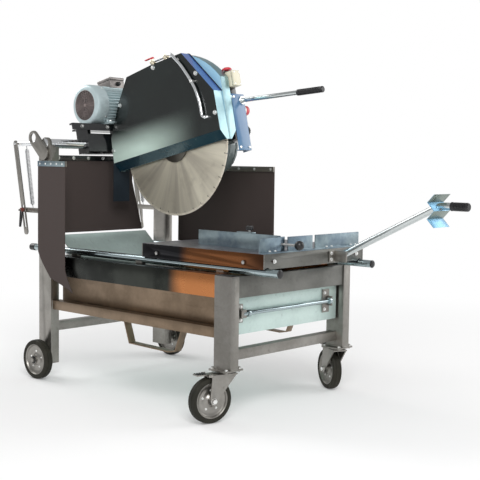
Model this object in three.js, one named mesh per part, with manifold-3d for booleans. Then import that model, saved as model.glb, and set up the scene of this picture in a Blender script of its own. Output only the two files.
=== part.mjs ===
import * as THREE from 'three';
import { mergeVertices } from 'three/addons/utils/BufferGeometryUtils.js';
import Module from 'manifold-3d';

const wasm = await Module();
wasm.setup();

// A masonry saw: a wheeled steel frame with a water tray, a table that rolls on two rails,
// and a tilting saw head with its motor, guard and blade.
// Millimetres, +Z up. X runs across, -Y is the operator's end and the floor is Z = 0.

// Clearances and cutting allowance
const fit = 0.3;
const overrun = 3;

// Frame
const frameWidth = 842;
const frameLength = 1350;
const frameTop = 630;
const legWidth = 50;
const legDepth = 100;
const legWall = 4;
const casterHeadroom = 28;
const rearPostFootDrop = 23;
const postTop = 1180;
const sideBeamInset = 14;
const sideBeamHeight = 100;
const sideBeamWall = 4;
const sideBeamTopFlange = 95;
const sideBeamLowFlange = 44;
const lowerBeamInset = 10;
const lowerBeamWidth = 50;
const lowerBeamHeight = 46;
const lowerBeamTop = 402;
const frontBeamDrop = 1;
const frontBeamHeight = 94;
const frontBeamSetback = 4;
const frontBeamWall = 3;
const frontBeamFlange = 28;
const crossbarSize = 45;
const crossbarSetback = 40;
const frontCrossbarRise = 75;
const rearCrossbarRise = 208;

// Water tray and splash plate
const trayLegGap = 13;
const trayDepth = 190;
const trayRimDrop = 70;
const traySheet = 2;
const trayFrontSetback = 35;
const trayRearSetback = 115;
const trayLip = 27;
const trayLipEndGap = 5;
const splashInset = 58;
const splashReach = 195;
const splashRearSetback = 10;
const splashRise = 162;
const splashSheet = 2;
const splashHem = 10;
const splashTabReach = 30;
const splashTabHalfLength = 12;

// Loops for a fork lift, bent from flat bar below the lower beams
const loopBarWidth = 40;
const loopBarThickness = 6;
const loopInset = 21;
const loopDrop = 99;
const loopRearY = 28;
const loopRearBendY = -8;
const loopFrontBendY = -277;
const loopKneeY = -322;
const loopFrontY = -362;
const loopKneeDrop = 96;

// Bar across the front of the tray
const frontBarRadius = 10;
const frontBarDrop = 97;
const frontBarStandoff = 20;
const frontBarLeftInset = 46;
const frontBarRightInset = 42;
const frontPlateThickness = 5;
const frontPlateLeftInset = 11;
const frontPlateLeftWidth = 34;
const frontPlateLeftHeight = 82;
const frontPlateRightInset = 111;
const frontPlateRightWidth = 51;
const frontPlateRightHeight = 110;
const frontBossRadius = 16;

// Rails of the rolling table
const railInset = 41;
const railRise = 22;
const railRadius = 17;
const railFrontReach = 197;
const railRearReach = 189;
const railCapLength = 12;
const railCapProud = 1.5;
const railFootWidth = 26;
const railFootLength = 44;
const railFootInset = 45;

// Head pivot and lifting eyes
const pivotSetback = 51;
const pivotRise = 15;
const pivotRadius = 24;
const strapThickness = 7;
const strapWidth = 20;
const strapFootLength = 16;
const eyeThickness = 12;
const eyeRadius = 36;
const eyeHoleRadius = 23.5;
const eyeBaseReach = 4;
const eyeBaseDrop = 48;
const eyeLean = 83;
const eyeRise = 77;

// Rubber curtains and the flat bars that carry them
const hangerThickness = 6;
const hangerHeight = 27;
const curtainSheet = 4;
const rivetRadius = 6;
const rivetProud = 3;
const rivetInset = 20;
const leftCurtainRivets = 5;
const rearCurtainRivets = 6;
const rightCurtainRivets = 7;
const leftCurtainDrop = 73;
const leftCurtainWidth = 221;
const leftCurtainSetback = 4;
const leftCurtainRearKneeRise = 20;
const leftCurtainFrontKneeDrop = 60;
const leftCurtainFrontShift = 60;
const leftCurtainFrontDrop = 171;
const leftCurtainRearShift = 103;
const leftCurtainRearDrop = 112;
const rearCurtainDrop = 43;
const rearCurtainGap = 13;
const rearCurtainSetback = 23;
const rearCurtainLeftInset = 31;
const rearCurtainRightInset = 181;
const rearCurtainFlare = 75;
const rearCurtainStraight = 137;
const rightCurtainDrop = 87;
const rightCurtainRise = 40;
const rightCurtainWidth = 706;
const rightCurtainSetback = 145;

// Wheels and casters
const wheelRadius = 100;
const tyreWidth = 45;
const tyreDepth = 24;
const tyreShoulder = 6;
const rimWidth = 38;
const rimDish = 12;
const hubRadius = 20;
const hubWidth = 56;
const axleRadius = 6;
const rearAxleRadius = 10;
const rearWheelOffset = 45;
const spacerRadius = 16;
const nutRadius = 13;
const nutThickness = 9;
const casterTrail = 80;
const casterPlateSize = 106;
const casterPlateThickness = 8;
const casterRingRadius = 30;
const casterRingHeight = 8;
const forkSheet = 6;
const forkWidth = 70;
const forkCrownRear = 38;
const forkToeRadius = 18;
const kingPinRadius = 8;
const leftCasterAngle = 76.3;
const rightCasterAngle = -26.8;
const pedalPivotOut = 17;
const pedalPinRadius = 4;
const pedalBarrelRadius = 8;
const pedalBarrelWidth = 28;
const pedalLength = 58;
const pedalWidth = 40;
const pedalSheet = 5;
const lugThickness = 5;

// Rolling table
const rollerSideGap = 3;
const tableOverhang = 120;
const tableLength = 760;
const tableRise = 79;
const tableSheet = 3;
const tableSkirt = 66;
const rollerRise = 38;
const rollerWidth = 32;
const rollerFlangeRadius = 27;
const rollerWaistShare = 0.75;
const rollerTreadShare = 0.3;
const rollerFrontInset = 115;
const rollerRearInset = 101;
const rollerAxleRadius = 6;
const boltHeadRadius = 9;
const boltHeadHeight = 6;
const slotWidth = 16;
const skirtBoltInset = 60;

// Fences on the table
const crossFenceSetback = 25;
const fenceHeight = 65;
const fenceSheet = 6;
const fenceFlange = 24;
const fenceGapHalfWidth = 25;
const fenceNotch = 20;
const fenceScrewRadius = 7;
const fenceScrewInset = 47;
const fenceScrewPitch = 36;
const sideFenceInset = 162;
const sideFenceLength = 498;
const sideFenceSetback = 24;
const sideFenceHeight = 69;
const sideFenceFlange = 30;
const sideFenceGussetSetback = 56;
const clampPlateWidth = 46;
const clampRodRadius = 6;
const clampRodLength = 100;
const clampRodRise = 33;
const clampBallRadius = 21;
const knobBracketLength = 90;
const knobBracketWidth = 30;
const knobBracketSetback = 252;
const knobSetback = 65;
const knobRadius = 17;
const knobHeight = 20;
const knobStemRadius = 5;
const knobStemHeight = 8;

// Push handle with its zigzag hip plate
const pushX = 150;
const pushRadius = 16;
const pushBaseDrop = 34;
const pushReach = 535;
const pushRise = 248;
const pushLevelLength = 62;
const pushGripLength = 76;
const pushGripRadius = 19;
const socketSheet = 6;
const socketLength = 70;
const socketHeight = 50;
const socketFlange = 40;
const hipPlateSetback = 5;
const hipPlateWidth = 125;
const hipPlateOffset = -2.5;
const hipPlateRise = 50;
const hipPlateHeight = 139;
const hipPlateZigzag = 33;
const hipPlateSheet = 4;

// Depth gear behind the posts
const leverInset = 36;
const leverRadius = 13;
const leverReach = 279;
const leverOverhang = 10;
const barPinRadius = 6;
const barPinProud = 4;
const barOffset = 17;
const barWidth = 32;
const barThickness = 6;
const barLength = 466;
const barSlotWidth = 14;
const barSlotStart = 330;
const barSlotEnd = 438;
const clampStudReach = 158;
const clampStudDrop = 345;
const clampStudRadius = 5;
const clampBlockWidth = 24;
const clampBlockGap = 4;
const clampBlockHeight = 24;
const clampBlockOverhang = 27;
const clampBossRadius = 12;
const clampBossLength = 16;
const clampArmLength = 80;
const clampArmRadius = 6;
const clampArmSplay = 10;
const clampTipRadius = 9;
const springTopReach = 208;
const springFootSetback = 56;
const springOffset = 1;
const springWireRadius = 2;
const springCoilRadius = 9.5;
const springTail = 14;
const springCurls = 20;
const springSteps = 8;
const springSides = 5;

// Saw head, measured with the head level; at rest it is raised
const headTilt = 12.5;
const bladeX = 15;
const bladeReach = 484;
const bladeDrop = 99;
const bladeRadius = 362.5;
const bladeThickness = 4;
const bladeSlots = 36;
const bladeSlotWidth = 3;
const bladeSlotDepth = 14;
const shaftRadius = 15;
const flangeRadius = 95;
const flangeThickness = 8;
const guardHalfWidth = 55;
const guardSheet = 2.5;
const guardFloorDrop = 14;
const guardHemHeight = 44;
const guardLipHalfWidth = 18;
const guardShaftHole = 22;
const guardArcShare = 1.2276;
const hubLeftReach = 191;
const armWidth = 80;
const hubHalfDepth = 45;
const hubDrop = 45;
const hubRise = 50;
const armSheet = 5;
const ribWidth = 20;
const ribMiddleX = 56;
const armFrontDrop = 56;
const armFrontRise = 140;
const armKneeReach = 160;
const armFrontSetback = 0.5;
const housingRadius = 45;

// Belt guard, motor and motor plate
const beltGuardGap = 90;
const beltGuardWidth = 75;
const beltGuardFrontRadius = 155;
const beltGuardRearRadius = 110;
const beltGuardSheet = 2.5;
const bladePulleyRadius = 80;
const motorPulleyRadius = 70;
const pulleyWidth = 42;
const motorSetback = 24;
const motorRise = 205;
const motorRadius = 94;
const motorFinHeight = 12;
const motorFins = 12;
const finRootStartShare = 0.15;
const finRootEndShare = 0.55;
const finTipStartShare = 0.65;
const finTipEndShare = 0.95;
const motorBodyLength = 248;
const motorBodyOverhang = 10;
const fanCoverRadius = 108;
const fanCoverLength = 62;
const fanCoverSheet = 2.5;
const fanRadius = 84;
const fanHubRadius = 22;
const fanWidth = 30;
const fanBlades = 7;
const fanVaneSheet = 3;
const grilleHoleRadius = 13;
const grilleRingRadius = 62;
const grilleHoles = 10;
const motorShaftRadius = 14;
const motorFootHeight = 24;
const motorFootWidth = 40;
const motorFootSpread = 158;
const motorFootInset = 42;
const terminalBoxWidth = 100;
const terminalBoxDepth = 110;
const terminalBoxHeight = 60;
const terminalBoxInset = 138;
const motorShaftHeight = 112;
const motorPlateWidth = 455;
const motorPlateFlange = 26;
const motorPlateFrontReach = 58;
const motorPlateRearReach = 100;
const motorPlateSheet = 8;
const motorPlateLip = 34;
const motorPlateBoltPitch = 168;

// Controls and water supply on the head
const panelGap = 8;
const panelOverhang = 18;
const panelHeight = 280;
const panelRise = 29;
const panelSheet = 3;
const panelReturn = 55;
const panelFloorReturn = 18;
const inletDrop = 75;
const inletRadius = 25;
const inletLength = 34;
const sideKnobDrop = 178;
const sideKnobRadius = 25;
const sideKnobLength = 20;
const sideKnobNeck = 7;
const switchBoxWidth = 50;
const switchBoxDepth = 90;
const switchBoxHeight = 76;
const switchBoxInset = 50;
const switchBoxSetback = 7;
const switchBoxRise = 32;
const switchFootWidth = 40;
const switchFootDepth = 30;
const stopRadius = 25;
const stopCapHeight = 15;
const stopStemRadius = 10;
const stopCollarRadius = 21;
const stopCollarHeight = 8;
const stopTravel = 5;
const stopSetback = 15;
const handRadius = 11;
const handBaseDrop = 31;
const handReach = 353;
const handDrop = 51;
const handGripLength = 149;
const handTipDrop = 22;
const handGripRadius = 15;
const handFlangeRadius = 22;
const handFlangeThickness = 6;
const pipeRadius = 8;
const pipeSteps = 20;
const pipeStandoff = 12;
const pipeTopInset = 35;
const pipeTopRise = 20;
const valveOffset = 40;
const valveSize = 28;
const valveHeight = 30;
const fittingOffset = 58;
const tapLength = 54;
const tapWidth = 14;
const tapThickness = 6;
const tapStemRadius = 6;
const tapStemHeight = 6;
const flapSheet = 4;
const flapLength = 200;
const flapOverlap = 30;

// Values that follow from the sizes above
const legOuterX = frameWidth / 2;
const legInnerX = legOuterX - legWidth;
const frameEndY = frameLength / 2;
const bayEndY = frameEndY - legDepth;
const frontLegFoot = 2 * wheelRadius + casterHeadroom;
const rearPostFoot = wheelRadius - rearPostFootDrop;
const frontCrossbarTop = frontLegFoot + frontCrossbarRise;
const rearCrossbarTop = rearPostFoot + rearCrossbarRise;
const trayHalfWidth = legInnerX - trayLegGap;
const trayRim = frameTop - trayRimDrop;
const trayFloor = trayRim - trayDepth;
const trayFrontY = -frameEndY + trayFrontSetback;
const trayRearY = frameEndY - trayRearSetback;
const splashHalfWidth = trayHalfWidth - splashInset;
const splashRearY = frameEndY - splashRearSetback;
const splashFrontY = splashRearY - splashReach;
const splashFrontZ = trayRim;
const splashRearZ = splashFrontZ + splashRise;
const lowerBeamOuterX = legOuterX - lowerBeamInset;
const loopCentreX = lowerBeamOuterX - loopInset;
const frontBarZ = trayRim - frontBarDrop;
const frontBarY = trayFrontY - frontBarStandoff;
const frontPlateLeftOuterX = -trayHalfWidth + frontPlateLeftInset;
const frontBarLeftX = frontPlateLeftOuterX + frontBarLeftInset;
const frontPlateRightX = trayHalfWidth - frontPlateRightInset;
const frontBarRightX = frontPlateRightX + frontBarRightInset;
const railX = legInnerX - railInset;
const railZ = frameTop + railRise;
const railFrontY = -frameEndY - railFrontReach;
const railRearY = frameEndY + railRearReach;
const pivotY = frameEndY - pivotSetback;
const pivotZ = postTop + pivotRise;
const eyeBaseY = pivotY + eyeBaseReach;
const eyeBaseZ = pivotZ - eyeBaseDrop;
const eyeTopY = eyeBaseY + eyeLean;
const eyeTopZ = eyeBaseZ + eyeRise;
const leftCurtainTop = postTop - leftCurtainDrop;
const leftCurtainRearY = frameEndY - leftCurtainSetback;
const leftCurtainFrontY = leftCurtainRearY - leftCurtainWidth;
const leftCurtainRearKneeZ = frameTop + leftCurtainRearKneeRise;
const leftCurtainFrontKneeZ = frameTop - leftCurtainFrontKneeDrop;
const leftCurtainBottomFrontY = leftCurtainFrontY - leftCurtainFrontShift;
const leftCurtainBottomFrontZ = frameTop - leftCurtainFrontDrop;
const leftCurtainBottomRearY = leftCurtainRearY - leftCurtainRearShift;
const leftCurtainBottomRearZ = frameTop - leftCurtainRearDrop;
const rearCurtainTop = postTop - rearCurtainDrop;
const rearCurtainBottom = splashRearZ + rearCurtainGap;
const rearCurtainY = frameEndY - rearCurtainSetback;
const rearCurtainLeftX = -legInnerX + rearCurtainLeftInset;
const rearCurtainRightX = legInnerX - rearCurtainRightInset;
const rearCurtainFlareZ = rearCurtainTop - rearCurtainStraight;
const rightCurtainTop = postTop - rightCurtainDrop;
const rightCurtainBottom = frameTop + rightCurtainRise;
const rightCurtainRearY = frameEndY - rightCurtainSetback;
const rightCurtainFrontY = rightCurtainRearY - rightCurtainWidth;
const rearAxleY = frameEndY - legDepth / 2;
const rearWheelX = legOuterX + rearWheelOffset;
const tableHalfWidth = railX + rollerWidth / 2 + rollerSideGap + tableSheet;
const tableFrontY = -frameEndY - tableOverhang;
const tableRearY = tableFrontY + tableLength;
const tableTop = railZ + tableRise;
const rollerZ = railZ + rollerRise;
const rollerFrontY = tableFrontY + rollerFrontInset;
const rollerRearY = tableRearY - rollerRearInset;
const crossFenceY = tableFrontY + crossFenceSetback;
const sideFenceX = -tableHalfWidth + sideFenceInset;
const fenceGapLeftX = sideFenceX - fenceGapHalfWidth;
const fenceGapRightX = sideFenceX + fenceGapHalfWidth;
const sideFenceFrontY = crossFenceY + sideFenceSetback;
const sideFenceRearY = sideFenceFrontY + sideFenceLength;
const clampRodZ = tableTop + clampRodRise;
const knobBracketRearY = sideFenceRearY - knobBracketSetback;
const knobY = knobBracketRearY - knobSetback;
const pushBaseZ = tableTop - pushBaseDrop;
const pushBendY = tableFrontY - pushReach;
const pushBendZ = pushBaseZ + pushRise;
const pushEndY = pushBendY - pushLevelLength;
const pushGripEndY = pushEndY - pushGripLength;
const hipPlateY = pushBendY + hipPlateSetback;
const hipPlateTop = pushBendZ + hipPlateRise;
const hipPlateBottom = hipPlateTop - hipPlateHeight;
const leverX = legOuterX - leverInset;
const barX = leverX + barOffset;
const springX = leverX - springOffset;
const clampStudY = frameEndY + clampStudReach;
const clampStudZ = pivotZ - clampStudDrop;
const clampBlockRearY = clampStudY + clampBlockOverhang;
const springTopY = pivotY + springTopReach;
const springFootY = clampStudY - springFootSetback;
const bladeY = pivotY - bladeReach;
const bladeZ = pivotZ - bladeDrop;
const guardFloor = bladeZ - guardFloorDrop;
const guardLip = guardFloor - guardHemHeight;
const guardArcRadius = bladeRadius * guardArcShare;
const hubLeftX = bladeX - hubLeftReach;
const hubRightX = bladeX + guardHalfWidth + armWidth;
const hubBottom = pivotZ - hubDrop;
const hubTop = pivotZ + hubRise;
const armFrontZ = bladeZ - armFrontDrop;
const armFrontTop = bladeZ + armFrontRise;
const armKneeY = bladeY + armKneeReach;
const armFrontY = bladeY - bladeRadius + armFrontSetback;
const beltGuardX = hubRightX + beltGuardGap;
const motorY = pivotY - motorSetback;
const motorZ = pivotZ + motorRise;
const motorBodyRightX = hubRightX + motorBodyOverhang;
const motorBodyLeftX = motorBodyRightX - motorBodyLength;
const fanCoverLeftX = motorBodyLeftX - fanCoverLength;
const terminalBoxX = motorBodyLeftX + terminalBoxInset;
const motorPlateTop = motorZ - motorShaftHeight;
const motorPlateRightX = motorBodyRightX;
const motorPlateLeftX = motorPlateRightX - motorPlateWidth;
const motorPlateFrontY = motorY - motorPlateFrontReach;
const motorPlateRearY = motorY + motorPlateRearReach;
const panelLeftX = bladeX + guardHalfWidth + panelGap;
const panelRightX = hubRightX + panelOverhang;
const panelTop = armFrontTop + panelRise;
const panelBottom = panelTop - panelHeight;
const inletZ = panelTop - inletDrop;
const sideKnobZ = panelTop - sideKnobDrop;
const switchBoxX = hubRightX - switchBoxInset;
const switchBoxY = armFrontY + switchBoxSetback;
const switchBoxBottom = panelTop + switchBoxRise;
const stopY = switchBoxY + stopSetback;
const handX = hubRightX;
const handBaseZ = panelTop - handBaseDrop;
const handEndY = armFrontY - handReach;
const handEndZ = handBaseZ - handDrop;
const handTipY = handEndY - handGripLength;
const handTipZ = handEndZ - handTipDrop;
const pipeX = bladeX - guardHalfWidth - pipeStandoff;
const pipeTopX = bladeX - pipeTopInset;
const valveY = bladeY + valveOffset;
const fittingY = bladeY - fittingOffset;
const sideBeamOuterX = legOuterX - sideBeamInset;
const sideBeamBottom = frameTop - sideBeamHeight;
const lowerBeamBottom = lowerBeamTop - lowerBeamHeight;
const legCentreX = legOuterX - legWidth / 2;
const casterY = -frameEndY + legDepth / 2;
const casterPlateBottom = frontLegFoot - casterPlateThickness;
const curtainX = legOuterX + hangerThickness;
const roundSides = 16;
const smallSides = 8;
const hexSides = 6;
const wheelSides = 20;

// Shapes. Each function returns a closed solid that can be joined or cut.

function solidOf(geometry) {
  const bare = geometry.index ? geometry.toNonIndexed() : geometry;
  bare.deleteAttribute('normal');
  bare.deleteAttribute('uv');
  const merged = mergeVertices(bare);
  const vertProperties = new Float32Array(merged.attributes.position.array);
  const triVerts = new Uint32Array(merged.index.array);
  const made = new wasm.Manifold(new wasm.Mesh({ numProp: 3, vertProperties, triVerts }));
  if (made.volume() > 0) return made;
  for (let i = 0; i < triVerts.length; i += 3) {
    const first = triVerts[i];
    triVerts[i] = triVerts[i + 1];
    triVerts[i + 1] = first;
  }
  return new wasm.Manifold(new wasm.Mesh({ numProp: 3, vertProperties, triVerts }));
}

function join(solids) {
  return solids.reduce((whole, solid) => whole.add(solid));
}

function cut(whole, tools) {
  return tools.reduce((rest, tool) => rest.subtract(tool), whole);
}

function block(x0, x1, y0, y1, z0, z1) {
  const geometry = new THREE.BoxGeometry(Math.abs(x1 - x0), Math.abs(y1 - y0), Math.abs(z1 - z0));
  geometry.translate((x0 + x1) / 2, (y0 + y1) / 2, (z0 + z1) / 2);
  return solidOf(geometry);
}

// A cylinder between two points, narrower at its far end when a second radius is given
function rodBetween(start, end, radius, sides = roundSides, endRadius = radius) {
  const from = new THREE.Vector3(...start);
  const along = new THREE.Vector3(...end).sub(from);
  const length = along.length();
  const geometry = new THREE.CylinderGeometry(endRadius, radius, length, sides);
  geometry.translate(0, length / 2, 0);
  const turn = new THREE.Quaternion().setFromUnitVectors(new THREE.Vector3(0, 1, 0), along.normalize());
  geometry.applyQuaternion(turn);
  geometry.translate(...start);
  return solidOf(geometry);
}

function rodX(x0, x1, y, z, radius, sides) {
  return rodBetween([x0, y, z], [x1, y, z], radius, sides);
}

function rodY(y0, y1, x, z, radius, sides) {
  return rodBetween([x, y0, z], [x, y1, z], radius, sides);
}

function rodZ(z0, z1, x, y, radius, sides) {
  return rodBetween([x, y, z0], [x, y, z1], radius, sides);
}

function ball(x, y, z, radius) {
  const geometry = new THREE.SphereGeometry(radius, smallSides, hexSides);
  geometry.rotateX(Math.PI / 2);
  geometry.translate(x, y, z);
  return solidOf(geometry);
}

// The corner radius of a hole with flat facets in which a pin of the given radius turns freely
function running(radius, facets = roundSides) {
  return (radius + fit) / Math.cos(Math.PI / facets);
}

function shapeOf(points) {
  return new THREE.Shape(points.map(([u, v]) => new THREE.Vector2(u, v)));
}

// An outline of (y, z) points, or a ready shape, pulled along X
function prismX(outline, x0, x1, curveSegments = hexSides) {
  const shape = Array.isArray(outline) ? shapeOf(outline) : outline;
  const geometry = new THREE.ExtrudeGeometry(shape, { depth: x1 - x0, bevelEnabled: false, curveSegments });
  geometry.applyMatrix4(new THREE.Matrix4().set(0, 0, 1, x0, 1, 0, 0, 0, 0, 1, 0, 0, 0, 0, 0, 1));
  return solidOf(geometry);
}

// An outline of (x, z) points pulled along Y
function prismY(points, y0, y1) {
  const geometry = new THREE.ExtrudeGeometry(shapeOf(points), { depth: y1 - y0, bevelEnabled: false });
  geometry.rotateX(Math.PI / 2);
  geometry.translate(0, y1, 0);
  return solidOf(geometry);
}

// A profile of (radius, x) points turned about an axis along X
function turnedX(profile, y, z, sides = roundSides) {
  const points = profile.map(([radius, x]) => new THREE.Vector2(radius, x));
  const geometry = new THREE.LatheGeometry(points, sides);
  geometry.rotateZ(-Math.PI / 2);
  geometry.translate(0, y, z);
  return solidOf(geometry);
}

// A round tube swept along a smooth curve through the points
function pipe(points, radius, steps) {
  const section = [];
  for (let i = 0; i < smallSides; i += 1) {
    const angle = (2 * Math.PI * i) / smallSides;
    section.push([radius * Math.cos(angle), radius * Math.sin(angle)]);
  }
  const places = points.map((point) => new THREE.Vector3(...point));
  const extrudePath = new THREE.CatmullRomCurve3(places, false, 'centripetal');
  return solidOf(new THREE.ExtrudeGeometry(shapeOf(section), { steps, extrudePath, bevelEnabled: false }));
}

// The outline that lies a wall's thickness inside a convex outline
function insetOutline(points, inset) {
  const count = points.length;
  const centre = points.reduce((sum, [u, v]) => [sum[0] + u / count, sum[1] + v / count], [0, 0]);
  const edges = points.map(([u, v], i) => {
    const [nextU, nextV] = points[(i + 1) % points.length];
    const length = Math.hypot(nextU - u, nextV - v);
    let normal = [(nextV - v) / length, -(nextU - u) / length];
    if ((centre[0] - u) * normal[0] + (centre[1] - v) * normal[1] < 0) normal = normal.map((part) => -part);
    return { normal, offset: u * normal[0] + v * normal[1] + inset };
  });
  return edges.map((edge, i) => {
    const before = edges[(i + edges.length - 1) % edges.length];
    const cross = before.normal[0] * edge.normal[1] - before.normal[1] * edge.normal[0];
    return [
      (before.offset * edge.normal[1] - edge.offset * before.normal[1]) / cross,
      (edge.offset * before.normal[0] - before.offset * edge.normal[0]) / cross,
    ];
  });
}

function turned(point, pivot, degrees) {
  const angle = THREE.MathUtils.degToRad(degrees);
  const [u, v] = [point[0] - pivot[0], point[1] - pivot[1]];
  return [
    pivot[0] + u * Math.cos(angle) - v * Math.sin(angle),
    pivot[1] + u * Math.sin(angle) + v * Math.cos(angle),
  ];
}

// Each material's colour, roughness and metalness

const zinc = [0xb4bcc0, 0.35, 0.85];
const chrome = [0xd8dde2, 0.15, 1.0];
const steel = [0xa8a59c, 0.3, 0.9];
const darkGreen = [0x16282a, 0.3, 0.2];
const blueGrey = [0x6d8296, 0.4, 0.2];
const greyPaint = [0x8b949b, 0.5, 0.3];
const blackPaint = [0x202224, 0.5, 0.2];
const blackPlastic = [0x17181a, 0.5, 0.0];
const rubber = [0x2b2523, 0.8, 0.0];
const tyreBlack = [0x1b1b1c, 0.8, 0.0];
const cream = [0xe6dfc4, 0.5, 0.0];
const signalRed = [0xc8232b, 0.4, 0.0];

function addPiece(group, name, solid, [color, roughness, metalness]) {
  const mesh = solid.getMesh();
  const geometry = new THREE.BufferGeometry();
  geometry.setAttribute('position', new THREE.BufferAttribute(new Float32Array(mesh.vertProperties), 3));
  geometry.setIndex(new THREE.BufferAttribute(new Uint32Array(mesh.triVerts), 1));
  geometry.computeVertexNormals();
  const piece = new THREE.Mesh(geometry, new THREE.MeshStandardMaterial({ color, roughness, metalness }));
  piece.name = name;
  group.add(piece);
  return piece;
}

// Left is -X and right is +X
const sides = [
  { name: 'left', side: -1 },
  { name: 'right', side: 1 },
];

// Frame pieces

function frontLeg(side) {
  const outer = side * legOuterX;
  const inner = side * legInnerX;
  const tube = block(inner, outer, -frameEndY, -bayEndY, frontLegFoot, frameTop);
  const hollow = block(
    inner + side * legWall,
    outer - side * legWall,
    -frameEndY + legWall,
    -bayEndY - legWall,
    frontLegFoot - overrun,
    frameTop - legWall,
  );
  const centre = side * legCentreX;
  const half = casterPlateSize / 2;
  const [x0, x1] = [centre - half, centre + half];
  const plate = block(x0, x1, casterY - half, casterY + half, casterPlateBottom, frontLegFoot);
  const inset = half - nutRadius;
  const bolts = [];
  for (const across of [-inset, inset]) {
    for (const along of [-inset, inset]) {
      bolts.push(rodZ(
        casterPlateBottom - nutThickness / 2,
        frontLegFoot + nutThickness,
        centre + across,
        casterY + along,
        nutRadius / 2,
        hexSides,
      ));
    }
  }
  const pinHole = rodZ(
    casterPlateBottom - overrun,
    frontLegFoot + overrun,
    centre,
    casterY,
    running(kingPinRadius, smallSides),
    smallSides,
  );
  return cut(join([cut(tube, [hollow]), plate, ...bolts]), [pinHole]);
}

function rearPost(side) {
  const outer = side * legOuterX;
  const inner = side * legInnerX;
  const tube = block(inner, outer, bayEndY, frameEndY, rearPostFoot, postTop);
  const hollow = block(
    inner + side * legWall,
    outer - side * legWall,
    bayEndY + legWall,
    frameEndY - legWall,
    rearPostFoot - overrun,
    postTop - 2 * legWall,
  );
  const bearingEnd = outer + side * (eyeThickness + overrun);
  const bearing = rodX(inner - side * overrun, bearingEnd, pivotY, pivotZ, running(pivotRadius));
  const strapInner = outer - side * strapWidth;
  const strapRadius = pivotRadius + strapThickness;
  const arch = cut(rodX(strapInner, outer, pivotY, pivotZ, strapRadius), [
    block(strapInner, outer, pivotY - strapRadius, pivotY + strapRadius, pivotZ - strapRadius, postTop),
  ]);
  const strapHalf = strapRadius + strapFootLength;
  const strapTop = postTop + strapThickness;
  const feet = block(strapInner, outer, pivotY - strapHalf, pivotY + strapHalf, postTop, strapTop);
  const stubEnd = side * (rearWheelX + hubWidth / 2 + nutThickness);
  const stub = rodX(outer - side * legWall, stubEnd, rearAxleY, wheelRadius, rearAxleRadius);
  const spacerEnd = side * (rearWheelX - hubWidth / 2) - side * fit;
  const spacer = rodX(outer, spacerEnd, rearAxleY, wheelRadius, spacerRadius);
  const nutInner = side * (rearWheelX + hubWidth / 2 + fit);
  const nut = rodX(nutInner, nutInner + side * nutThickness, rearAxleY, wheelRadius, nutRadius, hexSides);
  const shell = cut(join([tube, feet, arch]), [hollow, bearing]);
  return join([shell, stub, spacer, nut, clampArm(side), sideHanger(side)]);
}

function liftingEye(side) {
  const inner = side * legOuterX;
  const outer = inner + side * eyeThickness;
  const lean = Math.atan2(eyeTopZ - eyeBaseZ, eyeTopY - eyeBaseY);
  const outline = new THREE.Shape();
  outline.absarc(eyeTopY, eyeTopZ, eyeRadius, lean - Math.PI / 2, lean + Math.PI / 2, false);
  outline.absarc(eyeBaseY, eyeBaseZ, eyeRadius, lean + Math.PI / 2, lean + (3 * Math.PI) / 2, false);
  outline.closePath();
  const plate = prismX(outline, Math.min(inner, outer), Math.max(inner, outer));
  return cut(plate, [rodX(inner - side * overrun, outer + side * overrun, eyeTopY, eyeTopZ, eyeHoleRadius)]);
}

function sideBeam(side) {
  const outer = side * sideBeamOuterX;
  const inner = outer - side * sideBeamWall;
  const lowReach = outer - side * sideBeamLowFlange;
  const topReach = outer - side * sideBeamTopFlange;
  return prismY([
    [outer, sideBeamBottom],
    [lowReach, sideBeamBottom],
    [lowReach, sideBeamBottom + sideBeamWall],
    [inner, sideBeamBottom + sideBeamWall],
    [inner, frameTop - sideBeamWall],
    [topReach, frameTop - sideBeamWall],
    [topReach, frameTop],
    [outer, frameTop],
  ], -bayEndY, bayEndY);
}

function lowerBeam(side) {
  const outer = side * lowerBeamOuterX;
  const inner = outer - side * lowerBeamWidth;
  const tube = block(inner, outer, -bayEndY, bayEndY, lowerBeamBottom, lowerBeamTop);
  const hollow = block(
    inner + side * legWall,
    outer - side * legWall,
    -bayEndY - overrun,
    bayEndY + overrun,
    lowerBeamBottom + legWall,
    lowerBeamTop - legWall,
  );
  return join([cut(tube, [hollow]), forkLoop(side)]);
}

function crossTube(y0, y1, top) {
  const tube = block(-legInnerX, legInnerX, y0, y1, top - crossbarSize, top);
  const hollow = block(
    -legInnerX - overrun,
    legInnerX + overrun,
    y0 + legWall,
    y1 - legWall,
    top - crossbarSize + legWall,
    top - legWall,
  );
  return cut(tube, [hollow]);
}

function frontBeam() {
  const face = -frameEndY + frontBeamSetback;
  const top = frameTop - frontBeamDrop;
  const bottom = top - frontBeamHeight;
  const channel = block(-legInnerX, legInnerX, face, face + frontBeamFlange, bottom, top);
  const hollow = block(
    -legInnerX - overrun,
    legInnerX + overrun,
    face + frontBeamWall,
    face + frontBeamFlange + overrun,
    bottom + frontBeamWall,
    top - frontBeamWall,
  );
  return cut(channel, [hollow]);
}

function frontCrossbar() {
  const barFace = -frameEndY + crossbarSetback;
  return crossTube(barFace, barFace + crossbarSize, frontCrossbarTop);
}

function rearCrossbar() {
  const barFace = frameEndY - crossbarSetback;
  return crossTube(barFace - crossbarSize, barFace, rearCrossbarTop);
}

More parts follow.
